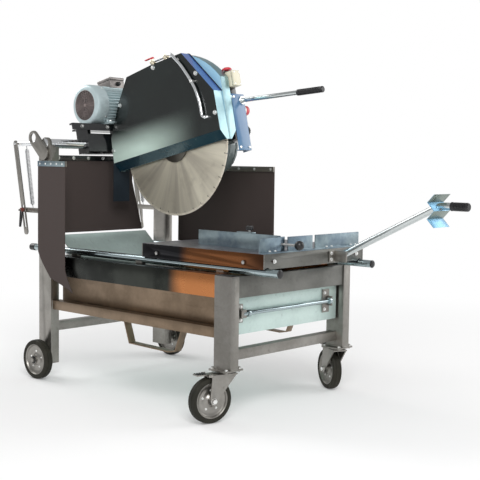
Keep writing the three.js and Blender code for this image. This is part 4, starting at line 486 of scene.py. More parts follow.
@dataclass(frozen=True)
class CastPaint(Finish):
    """Aluminium lacquer on a casting: a pebbled skin and patches of grime."""

    roughness: float = 0.34
    metallic: float = 0.75

    def mix(self, recipe: Recipe) -> bpy.types.Material:
        """Ends the recipe with a lacquered casting."""
        pebble = recipe.noise(340.0, 3.0, 0.6)
        grime = recipe.noise(16.0, 5.0, 0.7).step(0.46, 0.75)
        return recipe.surface(
            Base_Color=recipe.blend(grime * 0.6, self.base, self.second),
            Metallic=self.metallic,
            Roughness=self.roughness + grime * 0.18 + pebble * 0.08,
            Normal=recipe.bump(pebble, 0.3, 0.0005),
        )


@dataclass(frozen=True)
class BladeSteel(Finish):
    """Ground blade steel: circular grinding lines, and the fan of bright and dull rays they make, laid into
    the colour as painted highlights.
    """

    roughness: float = 0.3
    metallic: float = 0.72
    centre_y: float = 0.0
    centre_z: float = 0.0

    def mix(self, recipe: Recipe) -> bpy.types.Material:
        """Ends the recipe with a ground metal about the blade's axis."""
        _across, along, up = recipe.axes()
        aside = along - self.centre_y
        above = up - self.centre_z
        turn = above.turn(aside)
        reach = above.reach(aside)
        rays = recipe.noise(1.0, 3.0, 0.55, recipe.joined(turn * 2.1, reach * 0.9, 0.0))
        fine = recipe.noise(1.0, 2.0, 0.6, recipe.joined(turn * 13.0, reach * 2.0, 0.0))
        rings = recipe.noise(1.0, 3.0, 0.7, recipe.joined(turn * 0.25, reach * 520.0, 0.0))
        stain = recipe.noise(9.0, 5.0, 0.7).step(0.5, 0.8)
        # The bright rays are painted highlights, mixed into the base colour.
        painted_ray_highlight = rays.step(0.36, 0.66) * 0.8 + fine.step(0.4, 0.75) * 0.2
        ground = recipe.blend(painted_ray_highlight, self.second, self.base)
        worn = recipe.blend(stain * 0.3, ground, (0.2, 0.16, 0.12))
        return recipe.surface(
            Base_Color=worn,
            Metallic=self.metallic,
            Roughness=self.roughness + rings * 0.16 - painted_ray_highlight * 0.06,
            Normal=recipe.bump(rings, 0.2, 0.0003),
        )

# Modelling

LEFT: Point = (-1.0, 0.0, 0.0)
RIGHT: Point = (1.0, 0.0, 0.0)
FRONT: Point = (0.0, -1.0, 0.0)
UP: Point = (0.0, 0.0, 1.0)
SIDES: tuple[tuple[str, int], ...] = (("left", -1), ("right", 1))


def placed(axis: Axis, along: float, across: Flat) -> Point:
    """Returns the point at a place along an axis, and at a place on the other two axes, in their order."""
    point = list(across)
    point.insert(axis.value, along)
    return tuple(point)


def spot(centre: Flat, radius: float, turn: float) -> Flat:
    """Returns the point of a circle at an angle."""
    return (centre[0] + radius * math.cos(turn), centre[1] + radius * math.sin(turn))


def shifted(start: float, way: float, profile: Iterable[Flat]) -> list[Flat]:
    """Returns a turned profile that starts at start and runs up the axis, or down it where way is -1."""
    return [(start + way * along, radius) for along, radius in profile]


def aimed(at: Point, direction: Point, size: float = 1.0) -> Matrix:
    """Returns the matrix that sets a piece drawn up Z from the origin at a point, along a direction.

    Args:
        at: where its foot goes.
        direction: where its Z axis goes.
        size: how many times larger it gets.

    Returns:
        The matrix.
    """
    turn = Vector(UP).rotation_difference(Vector(direction)).to_matrix().to_4x4()
    return Matrix.Translation(at) @ turn @ Matrix.Scale(size, 4)


def rounded(points: Sequence[Point], radius: float, steps: int = 8) -> list[Point]:
    """Rounds the corners of a line.

    Args:
        points: the corners.
        radius: how far from a corner its bend starts.
        steps: points in each bend.

    Returns:
        The points of the rounded line.
    """
    line = [Vector(point) for point in points]
    made = [line[0]]
    for before, corner, after in zip(line, line[1:], line[2:]):
        reach = min(radius, (before - corner).length / 2, (after - corner).length / 2)
        start = corner + (before - corner).normalized() * reach
        end = corner + (after - corner).normalized() * reach
        for i in range(steps + 1):
            share = i / steps
            made.append(start.lerp(corner, share).lerp(corner.lerp(end, share), share))
    made.append(line[-1])
    return [tuple(point) for point in made]


def face_outward() -> None:
    """Turns the faces of the edited mesh outward."""
    bpy.ops.mesh.normals_make_consistent(inside=False)


def close_up() -> None:
    """Merges the doubled points of the edited mesh and turns its faces outward."""
    bpy.ops.mesh.remove_doubles(threshold=0.001)
    face_outward()


class Bench:
    """Blender's own modelling tools, worked in millimetres in one drawing frame."""

    def __init__(self, datum: Matrix) -> None:
        """Keeps the matrix from the drawing frame to the model's frame in metres."""
        self.datum = datum

    def clear(self) -> None:
        """Leaves nothing selected."""
        for chosen in bpy.context.selected_objects:
            chosen.select_set(False)

    def only(self, piece: bpy.types.Object) -> None:
        """Leaves that piece alone selected and active."""
        self.clear()
        piece.select_set(True)
        bpy.context.view_layer.objects.active = piece

    def linked(self, data: bpy.types.ID) -> bpy.types.Object:
        """Returns a new object of the scene that holds a mesh or curve."""
        piece = bpy.data.objects.new(data.name, data)
        bpy.context.scene.collection.objects.link(piece)
        return piece

    def settle(self) -> bpy.types.Object:
        """Returns the new primitive with its place applied."""
        piece = bpy.context.object
        self.only(piece)
        bpy.ops.object.transform_apply(location=True, rotation=True, scale=True)
        return piece

    def drawn(self, points: Sequence[Point], edges: Sequence, faces: Sequence) -> bpy.types.Object:
        """Returns a piece from points, and edges or faces between them."""
        mesh = bpy.data.meshes.new("drawing")
        mesh.from_pydata(points, edges, faces)
        mesh.update()
        return self.linked(mesh)

    def edited(self, piece: bpy.types.Object, *steps: Callable[[], object]) -> bpy.types.Object:
        """Runs mesh steps on a piece, with all of it selected before each, and returns the piece."""
        self.only(piece)
        bpy.ops.object.mode_set(mode="EDIT")
        for step in steps:
            bpy.ops.mesh.select_all(action="SELECT")
            step()
        bpy.ops.object.mode_set(mode="OBJECT")
        return piece

    def applied(self, piece: bpy.types.Object, kind: str, **settings: object) -> bpy.types.Object:
        """Applies a modifier of one kind with its settings to a piece, and returns the piece."""
        self.only(piece)
        modifier = piece.modifiers.new("step", kind)
        for key, value in settings.items():
            setattr(modifier, key, value)
        bpy.ops.object.modifier_apply(modifier=modifier.name)
        return piece

    def soften(
        self, piece: bpy.types.Object, width: float, segments: int = 2, angle: float = 38.0
    ) -> bpy.types.Object:
        """Rounds the sharp edges of a piece.

        Args:
            piece: the piece.
            width: how far from the edge the round starts.
            segments: facets in the round.
            angle: the least fold in degrees that is rounded.

        Returns:
            The same piece.
        """
        return self.applied(
            piece,
            "BEVEL",
            width=width,
            segments=segments,
            limit_method="ANGLE",
            angle_limit=math.radians(angle),
            use_clamp_overlap=True,
        )

    def rod(
        self,
        axis: Axis,
        start: float,
        end: float,
        across: Flat,
        radius: float,
        edge: float = 0.8,
        sides: int = 40,
    ) -> bpy.types.Object:
        """Makes a round bar along an axis.

        Args:
            axis: its direction.
            start: where it starts on the axis.
            end: where it ends.
            across: its place on the other two axes, in their order.
            radius: its radius.
            edge: the rounding of its ends.
            sides: facets round it.

        Returns:
            The bar.
        """
        turns = ((0.0, math.pi / 2, 0.0), (math.pi / 2, 0.0, 0.0), (0.0, 0.0, 0.0))
        self.clear()
        bpy.ops.mesh.primitive_cylinder_add(
            vertices=sides,
            radius=radius,
            depth=abs(end - start),
            location=placed(axis, (start + end) / 2, across),
            rotation=turns[axis.value],
        )
        piece = self.settle()
        return self.soften(piece, edge) if edge else piece

    def between(
        self, start: Point, end: Point, radius: float, end_radius: float, edge: float = 0.8
    ) -> bpy.types.Object:
        """Returns a round bar from one point to another, tapered from radius to end_radius."""
        way = Vector(end) - Vector(start)
        self.clear()
        bpy.ops.mesh.primitive_cone_add(
            vertices=32,
            radius1=radius,
            radius2=end_radius,
            depth=way.length,
            location=(0.0, 0.0, way.length / 2),
        )
        piece = self.settle()
        piece.data.transform(aimed(start, tuple(way)))
        return self.soften(piece, edge)

    def bar(self, low: Point, high: Point, edge: float = 1.0, segments: int = 2) -> bpy.types.Object:
        """Returns a square bar between two corners with rounded edges."""
        self.clear()
        bpy.ops.mesh.primitive_cube_add(
            size=1.0,
            location=[(a + b) / 2 for a, b in zip(low, high)],
            scale=[abs(b - a) for a, b in zip(low, high)],
        )
        return self.soften(self.settle(), edge, segments)

    def plate(
        self, outline: Sequence[Flat], axis: Axis, near: float, far: float, edge: float = 0.8
    ) -> bpy.types.Object:
        """Extrudes a flat outline along an axis.

        Args:
            outline: corners on the other two axes, in their order.
            axis: the direction of the thickness.
            near: where the plate starts on the axis.
            far: where it ends.
            edge: the rounding of its edges.

        Returns:
            The plate.
        """
        push = {"value": placed(axis, far - near, (0.0, 0.0))}
        points = [placed(axis, near, corner) for corner in outline]
        piece = self.edited(
            self.drawn(points, [], [list(range(len(points)))]),
            lambda: bpy.ops.mesh.extrude_region_move(TRANSFORM_OT_translate=push),
            face_outward,
        )
        return self.soften(piece, edge) if edge else piece

    def turned(
        self, profile: Sequence[Flat], axis: Axis, centre: Flat, steps: int = 48
    ) -> bpy.types.Object:
        """Spins a profile about an axis.

        Args:
            profile: points as (place along the axis, radius).
            axis: the axis.
            centre: the axis's place on the other two axes.
            steps: facets round it.

        Returns:
            The turned piece, closed where the profile ends on the axis or on itself.
        """
        points = [placed(axis, along, (centre[0] + radius, centre[1])) for along, radius in profile]
        middle, way = placed(axis, 0.0, centre), placed(axis, 1.0, (0.0, 0.0))
        return self.edited(
            self.drawn(points, [(i, i + 1) for i in range(len(points) - 1)], []),
            lambda: bpy.ops.mesh.spin(steps=steps, angle=2 * math.pi, center=middle, axis=way),
            close_up,
        )

    def tube(
        self, points: Sequence[Point], radius: float, swell: Sequence[float] = (), facets: int = 5
    ) -> bpy.types.Object:
        """Makes a closed tube along a line.

        Args:
            points: the line.
            radius: the tube's radius.
            swell: how many times thicker it is at each point, or nothing.
            facets: how finely its section is rounded.

        Returns:
            The tube.
        """
        curve = bpy.data.curves.new("line", "CURVE")
        curve.dimensions = "3D"
        curve.bevel_depth = radius
        curve.bevel_resolution = facets
        curve.use_fill_caps = True
        spline = curve.splines.new("POLY")
        spline.points.add(len(points) - 1)
        for i, point in enumerate(points):
            spline.points[i].co = (*point, 1.0)
            spline.points[i].radius = swell[i] if swell else 1.0
        self.only(self.linked(curve))
        bpy.ops.object.convert(target="MESH")
        return self.edited(bpy.context.object, close_up)

    def weld(self, start: Point, end: Point, radius: float = 3.0) -> bpy.types.Object:
        """Returns a rippled weld bead from one point to another."""
        way = Vector(end) - Vector(start)
        count = max(4, int(way.length / 2.5))
        points = [tuple(Vector(start) + way * (i / count)) for i in range(count + 1)]
        swell = [1.0 + 0.22 * math.sin(2.4 * i) * math.cos(0.7 * i) for i in range(count + 1)]
        return self.tube(points, radius, swell, 1)

    def sheet(
        self, place: Callable[[float, float], Point], columns: int, rows: int, thickness: float = 4.0
    ) -> bpy.types.Object:
        """Makes a soft sheet over a grid of points.

        Args:
            place: the sheet's middle at a share across and a share down.
            columns: cells across.
            rows: cells down.
            thickness: how thick it is.

        Returns:
            The sheet, with rounded edges.
        """
        wide = columns + 1
        points = [place(i / columns, j / rows) for j in range(rows + 1) for i in range(wide)]
        starts = [j * wide + i for j in range(rows) for i in range(columns)]
        faces = [(a, a + 1, a + 1 + wide, a + wide) for a in starts]
        piece = self.drawn(points, [], faces)
        return self.soften(self.applied(piece, "SOLIDIFY", thickness=thickness, offset=0.0), 0.9, 2, 60.0)

    def join(self, pieces: Iterable[bpy.types.Object]) -> bpy.types.Object:
        """Joins pieces into the first one and returns it."""
        chosen = list(pieces)
        self.only(chosen[0])
        for piece in chosen[1:]:
            piece.select_set(True)
        if len(chosen) > 1:
            bpy.ops.object.join()
        return bpy.context.view_layer.objects.active

    def copies(self, stock: bpy.types.Object, places: Iterable[Matrix]) -> bpy.types.Object:
        """Sets copies of a stock piece, drawn at the origin, at several places.

        Args:
            stock: the piece, which is removed.
            places: a matrix for each copy.

        Returns:
            All the copies as one piece.
        """
        made = []
        for place in places:
            mesh = stock.data.copy()
            mesh.transform(place)
            made.append(self.linked(mesh))
        bpy.data.objects.remove(stock)
        return self.join(made)

    def bolts(self, name: str, body: str, places: Sequence[Placing], size: float = 1.0) -> None:
        """Sets plated hexagon bolts with washers, as one finished piece.

        Args:
            name: the piece's name.
            body: the body that it moves with.
            places: the foot and the direction of each head.
            size: 1 for an M10 head.
        """
        head_radius, head_height = 9.2, 6.4
        washer_radius, washer_height = 11.0, 1.8
        top = washer_height + head_height
        self.clear()
        bpy.ops.mesh.primitive_cylinder_add(
            vertices=6,
            radius=head_radius,
            depth=head_height,
            location=(0.0, 0.0, washer_height + head_height / 2),
        )
        head = self.soften(self.settle(), 0.9)
        washer = self.rod(Axis.Z, 0.0, washer_height, (0.0, 0.0), washer_radius, 0.4, 24)
        crown = self.turned([(top, 6.6), (top + 0.5, 0.0)], Axis.Z, (0.0, 0.0), 18)
        stock = self.join([head, washer, crown])
        self.finish(self.copies(stock, [aimed(at, way, size) for at, way in places]), name, body, BOLT_ZINC)

    def from_cad(self, node: str) -> bpy.types.Object:
        """Returns a merged copy of a node of the frame, in the drawing frame."""
        mesh = bpy.data.objects[node].data.copy()
        mesh.transform(self.datum.inverted())
        mesh.materials.clear()
        piece = self.linked(mesh)
        self.only(piece)
        if mesh.has_custom_normals:
            bpy.ops.mesh.customdata_custom_splitnormals_clear()
        return self.edited(
            piece,
            lambda: bpy.ops.mesh.remove_doubles(threshold=0.01),
            lambda: bpy.ops.mesh.dissolve_limited(angle_limit=math.radians(0.5)),
        )

    def paint(
        self, piece: bpy.types.Object, finish: Finish, chosen: Callable[[Vector, Vector], bool]
    ) -> None:
        """Gives some faces of a piece a second finish.

        Args:
            piece: the piece, still in the drawing frame.
            finish: the finish of those faces.
            chosen: says of a face's normal and middle whether it gets the finish.
        """
        piece.data.materials.append(finish.material())
        slot = len(piece.data.materials) - 1
        for face in piece.data.polygons:
            if chosen(face.normal, face.center):
                face.material_index = slot

    def finish(
        self,
        made: bpy.types.Object | list[bpy.types.Object],
        name: str,
        body: str,
        finish: Finish,
        replaces: Sequence[str] = (),
        smooth: float = 32.0,
    ) -> bpy.types.Object:
        """Sets a finished piece in the model.

        Args:
            made: the piece, or the pieces that are joined into it, in the drawing frame.
            name: its name.
            body: the body that it moves with.
            finish: its finish, where it has none yet.
            replaces: nodes of the frame that it stands for.
            smooth: folds up to this angle in degrees are shaded smooth.

        Returns:
            The piece, in the model's frame.
        """
        piece = self.join(made) if isinstance(made, list) else made
        if piece.data.materials:
            piece.data.materials[0] = finish.material()
        else:
            piece.data.materials.append(finish.material())
        piece.data.transform(self.datum)
        piece.name = name
        piece.data.name = name
        self.only(piece)
        bpy.ops.object.shade_smooth_by_angle(angle=math.radians(smooth))
        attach(piece, body)
        if replaces:
            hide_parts(*replaces)
        log.info("made %s on %s, %d faces", name, body, len(piece.data.polygons))
        return piece

    def dressed(self, node: str, word: str, body: str, finish: Finish, edge: float = 1.2) -> None:
        """Finishes a copy of a node of the frame with rounded edges, in the node's place.

        Args:
            node: the node.
            word: what the new piece's name has after the node's.
            body: the body that it moves with.
            finish: its finish.
            edge: the rounding of its edges.
        """
        self.finish(self.soften(self.from_cad(node), edge), f"{node}_{word}", body, finish, [node])



# Finishes of this saw

ZINC = Plating("zinc_plate", "zinc", (0.36, 0.345, 0.32), (0.21, 0.2, 0.18))
BROWN_ZINC = Plating("brown_zinc_plate", "zinc", (0.27, 0.2, 0.14), (0.17, 0.125, 0.085), stain=0.6)
# The side beams' dark zinc carries a copper-brown painted reflection towards the front.
SIDE_ZINC = SideZinc("side_zinc_plate", "zinc", (0.05, 0.054, 0.048), (0.018, 0.02, 0.018), roughness=0.2)
# Near-black zinc for the table's sides, with a copper-brown painted reflection.
SKIRT_ZINC = SideZinc(
    "skirt_zinc_plate",
    "zinc",
    (0.02, 0.02, 0.022),
    (0.01, 0.01, 0.012),
    roughness=0.2,
    painted_copper_reflection=(0.19, 0.075, 0.03),
)
TRAY_ZINC = Plating(
    "tray_zinc_plate", "zinc", (0.62, 0.76, 0.72), (0.46, 0.58, 0.56), metallic=0.55, stain=0.4
)
TABLE_ZINC = Plating("table_zinc_plate", "zinc", (0.36, 0.37, 0.4), (0.18, 0.175, 0.2), stain=0.7)
FENCE_ZINC = Plating("fence_zinc_plate", "zinc", (0.34, 0.42, 0.44), (0.13, 0.18, 0.23), stain=0.8)
# Pale cyan and sky-blue colours for the guard's facets: painted reflections of the sky.
GUARD_FRONT_REFLECTION = Plating("guard_front_painted_reflection", "panel_blue", (0.36, 0.52, 0.55), (0.24, 0.38, 0.43), stain=0.5)
GUARD_WEB_REFLECTION = Enamel("guard_web_painted_sky_reflection", "panel_blue", (0.3, 0.55, 0.72), (0.4, 0.66, 0.8), haze=0.05)
# Darker zinc, used on the front beam, and on the table's front faces as painted shade.
DIM_ZINC = Plating("dim_zinc_plate", "zinc", (0.21, 0.21, 0.195), (0.12, 0.12, 0.11))
# Near-black steel for the blade flanges: painted shade under the guard.
FLANGE_PAINTED_SHADE = Drawn("blade_flange_painted_shade", "steel", (0.12, 0.115, 0.1), (0.06, 0.055, 0.05), roughness=0.3)
HIP_SKY_REFLECTION = Plating("hip_plate_painted_sky_reflection", "zinc", (0.22, 0.46, 0.66), (0.16, 0.34, 0.52), metallic=0.6, stain=0.4)
HIP_GROUND_REFLECTION = Plating("hip_plate_painted_ground_reflection", "zinc", (0.26, 0.31, 0.28), (0.16, 0.19, 0.17), stain=0.5)
BOLT_ZINC = Plating("bolt_plate", "zinc", (0.95, 0.95, 0.93), (0.7, 0.71, 0.7), spangle=300.0)
WELD_ZINC = Plating("weld_plate", "zinc", (0.34, 0.33, 0.31), (0.2, 0.19, 0.17), roughness=0.42)
VALVE_BRASS = Drawn("valve_brass", "steel", (0.72, 0.66, 0.52), (0.46, 0.4, 0.28), roughness=0.25)
SHAFT_CHROME = Drawn("polished_shaft", "chrome", (0.86, 0.88, 0.9), (0.5, 0.54, 0.6))
RAIL_CHROME = Drawn("drawn_bar", "chrome", (0.4, 0.48, 0.5), (0.16, 0.21, 0.24))
TUBE_CHROME = Drawn("bright_tube", "chrome", (0.62, 0.66, 0.66), (0.3, 0.33, 0.35))
SPRING_STEEL = Drawn("spring_wire", "chrome", (0.42, 0.43, 0.44), (0.18, 0.18, 0.19), roughness=0.25)
PLAIN_STEEL = Drawn("machined_steel", "steel", (0.45, 0.45, 0.44), (0.25, 0.23, 0.2), roughness=0.28)
GUARD_GREEN = GuardEnamel(
    "guard_enamel", "guard_green", (0.002, 0.004, 0.0037), (0.004, 0.009, 0.008), coat=0.3, haze=0.03
)
# Teal on the guard's hem and blue on its brow: painted reflections of the sky.
GUARD_HEM_REFLECTION = Enamel(
    "guard_hem_painted_reflection", "guard_green", (0.005, 0.028, 0.045), (0.008, 0.042, 0.062), coat=0.4, haze=0.04
)
GUARD_BROW_REFLECTION = Enamel("guard_brow_painted_reflection", "panel_blue", (0.045, 0.11, 0.36), (0.085, 0.18, 0.46), haze=0.05)
PANEL_BLUE = Enamel(
    "panel_enamel", "panel_blue", (0.075, 0.17, 0.32), (0.12, 0.25, 0.38), coat=0.4, haze=0.08
)
ARM_BLACK = Enamel(
    "arm_enamel", "black_paint", (0.004, 0.005, 0.006), (0.008, 0.009, 0.011), coat=0.5, haze=0.05
)
BELT_GREY = Enamel("belt_guard_enamel", "machine_grey", (0.15, 0.19, 0.19), (0.21, 0.26, 0.25))
MOTOR_CAST = CastPaint(
    "motor_casting", "machine_grey", (0.55, 0.66, 0.68), (0.3, 0.36, 0.38), metallic=0.45
)
BOX_CAST = CastPaint("terminal_box_casting", "machine_grey", (0.27, 0.25, 0.24), (0.16, 0.15, 0.14))
FAN_MESH = CastPaint("fan_grille", "machine_grey", (0.3, 0.25, 0.24), (0.13, 0.11, 0.1), roughness=0.5)
FAN_DARK = Moulded("fan_plastic", "black_plastic", (0.02, 0.018, 0.018), (0.05, 0.045, 0.04))
CURTAIN = Rubber("curtain_rubber", "curtain_rubber", (0.017, 0.02, 0.013), (0.032, 0.036, 0.025))
FLAP = Rubber("flap_rubber", "curtain_rubber", (0.012, 0.019, 0.026), (0.024, 0.036, 0.047))
TYRE = Rubber("tyre_rubber", "wheel_tyre", (0.02, 0.019, 0.014), (0.055, 0.05, 0.037), roughness=0.55)
BLACK_GRIP = Moulded("black_grip", "black_plastic", (0.005, 0.005, 0.006), (0.016, 0.016, 0.018), coat=0.15)
CREAM = Moulded("cream_case", "cream", (0.72, 0.68, 0.52), (0.62, 0.57, 0.42), coat=0.3)
RED = Moulded("signal_red", "red", (0.6, 0.02, 0.04), (0.45, 0.012, 0.025), coat=0.5)
RUST_RED = Moulded("handle_boss_red", "red", (0.16, 0.03, 0.02), (0.09, 0.02, 0.015), coat=0.2)
WHITE_PLUG = Moulded("inlet_white", "cream", (0.78, 0.78, 0.76), (0.6, 0.6, 0.58), coat=0.3)
DIAMOND = CastPaint("diamond_segment", "steel", (0.84, 0.78, 0.66), (0.56, 0.5, 0.4), roughness=0.45)
SLOT_PAINTED_SHADE = Moulded("blade_slot_painted_shade", "black_plastic", (0.008, 0.007, 0.006), (0.02, 0.018, 0.015))

# Sub-assemblies


@dataclass
class Stand:
    """The welded stand: posts, legs, beams, crossbars, rails of the table, and the bar in front."""

    bench: Bench
    outer: float = 421.0
    leg: float = 50.0
    end: float = 675.0
    bay: float = 575.0
    top: float = 630.0
    rail_x: float = 330.0
    rail_z: float = 652.0
    rail_radius: float = 17.0
    rail_front: float = -872.0
    rail_rear: float = 864.0
    cap: float = 6.0
    sleeve: float = 40.0
    pivot_y: float = 624.0
    pivot_z: float = 1195.0

    def build(self) -> None:
        """Builds and dresses every part of the stand."""
        self.tubes()
        self.welds()
        for name, side in SIDES:
            self.rail(name, side * self.rail_x)
        self.front_bar()
        self.fixings()

    def tubes(self) -> None:
        """Dresses the tubes, posts and beams."""
        words = {"side_beam": "channel", "lifting_eye": "plate"}
        finishes = {"side_beam": SIDE_ZINC, "lower_beam": BROWN_ZINC}
        for name, _side in SIDES:
            for kind in ("front_leg", "rear_post", "side_beam", "lower_beam", "lifting_eye"):
                word, finish = words.get(kind, "tube"), finishes.get(kind, ZINC)
                self.bench.dressed(f"{kind}_{name}", word, "frame", finish, 1.6)
        self.bench.dressed("front_beam", "tube", "frame", DIM_ZINC, 1.4)
        self.bench.dressed("front_crossbar", "tube", "frame", ZINC, 1.4)
        self.bench.dressed("rear_crossbar", "tube", "frame", ZINC, 1.4)
        self.bench.dressed("rear_hanger", "flat", "frame", ARM_BLACK, 1.0)

    def welds(self) -> None:
        """Lays weld beads where beams meet legs and posts."""
        weld = self.bench.weld
        beads = []
        for _name, side in SIDES:
            face, low_face = side * (self.outer - 14.0), side * (self.outer - 10.0)
            for y in (-self.bay, self.bay):
                beads.append(weld((face, y, 532.0), (face, y, 628.0)))
                beads.append(weld((low_face, y, 357.0), (low_face, y, 401.0), 2.6))
            inner = side * (self.outer - self.leg)
            for z in (304.0, 258.0):
                beads.append(weld((inner, -self.end + 42.0, z), (inner, -self.end + 84.0, z), 2.6))
            foot = side * (self.outer - self.leg / 2)
            for y in (-self.end, -self.end + 100.0):
                beads.append(weld((foot - 22.0, y, 229.0), (foot + 22.0, y, 229.0), 2.8))
        self.bench.finish(beads, "frame_weld_beads", "frame", WELD_ZINC)

    def rail(self, name: str, x: float) -> None:
        """Builds one of the two round rails, with its black end caps and feet."""
        bench, z, radius, wide = self.bench, self.rail_z, self.rail_radius, 13.0
        tube = bench.rod(Axis.Y, self.rail_front + 2.0, self.rail_rear - 2.0, (x, z), radius, 1.0, 64)
        bench.finish(tube, f"table_rail_{name}_tube", "frame", RAIL_CHROME, [f"table_rail_{name}"])
        caps = []
        for y, way, cap in ((self.rail_front, 1.0, self.cap), (self.rail_rear, -1.0, self.sleeve)):
            profile = [(0.0, 0.0), (0.0, radius - 5.0), (1.5, radius - 1.0), (4.0, radius + 1.2)]
            profile += [(cap, radius + 1.4), (cap + 1.5, radius + 0.2), (cap + 1.5, radius - 1.5)]
            caps.append(bench.turned(shifted(y, way, profile), Axis.Y, (x, z)))
        bench.finish(caps, f"rail_caps_{name}", "frame", BLACK_GRIP)
        feet = []
        reach = self.bay - 45.0
        for y in (-reach, 0.0, reach - 44.0):
            feet.append(bench.bar((x - wide, y - 22.0, self.top), (x + wide, y + 22.0, z - 8.0), 1.2))
            for at in (x - wide, x + wide):
                feet.append(bench.weld((at, y - 21.0, 644.0), (at, y + 21.0, 644.0), 2.4))
        bench.finish(feet, f"rail_feet_{name}", "frame", ZINC)

    def front_bar(self) -> None:
        """Builds the round bar across the tray's front with its two bolted plates."""
        bench, left, right, at = self.bench, -301.0, 289.0, (-660.0, 463.0)
        bar = [
            bench.rod(Axis.X, left - 30.0, right + 8.0, at, 10.0, 1.0, 48),
            bench.rod(Axis.X, left - 4.0, left + 14.0, at, 16.0, 1.6, 40),
            bench.rod(Axis.X, right - 18.0, right, at, 16.0, 1.6, 40),
        ]
        bench.finish(bar, "front_bar_rod", "frame", RAIL_CHROME, ["front_bar"])
        plates = [
            bench.bar((-347.0, -645.0, 422.0), (-313.0, -640.0, 504.0), 1.2),
            bench.bar((-347.0, -668.0, 445.0), (-313.0, -645.0, 481.0), 1.6),
            bench.bar((247.0, -645.0, 408.0), (298.0, -640.0, 518.0), 1.2),
            bench.bar((284.0, -670.0, 440.0), (292.0, -645.0, 486.0), 1.6),
        ]
        bench.finish(plates, "front_bar_plates", "frame", ZINC)
        spots = ((-330.0, 434.0), (-330.0, 492.0), (260.0, 424.0), (260.0, 502.0))
        bench.bolts("front_bar_bolts", "frame", [((x, -645.0, z), FRONT) for x, z in spots], 0.8)

    def fixings(self) -> None:
        """Sets the bolts of the caster plates and the caps of the front legs."""
        heads, caps = [], []
        across, behind = (-42.0, 42.0), self.end - self.leg
        for _name, side in SIDES:
            x = side * (self.outer - self.leg / 2)
            heads += [((x + dx, dy - behind, 228.0), UP) for dx in across for dy in across]
        self.bench.bolts("caster_plate_bolts", "frame", heads, 0.75)
        for _name, side in SIDES:
            x = side * (self.outer - self.leg / 2)
            low = (x - 24.0, -self.end + 1.0, self.top - 3.0)
            caps.append(self.bench.bar(low, (x + 24.0, -self.bay - 1.0, self.top + 2.5), 2.2, 3))
        self.bench.finish(caps, "leg_end_caps", "frame", BLACK_GRIP)


@dataclass
class Tray:
    """The folded water tray under the table, with its splash plate."""

    bench: Bench

    def build(self) -> None:
        """Dresses the tray, whose sides get a browner zinc than its ends as a painted reflection."""
        sheet = self.bench.soften(self.bench.from_cad("water_tray"), 0.8)
        sheet.data.materials.append(TRAY_ZINC.material())
        # The sides, picked by face direction, get the brown zinc: a painted reflection.
        self.bench.paint(sheet, BROWN_ZINC, lambda normal, _centre: abs(normal.x) > 0.9)
        self.bench.finish(sheet, "water_tray_sheet", "frame", TRAY_ZINC, ["water_tray"])


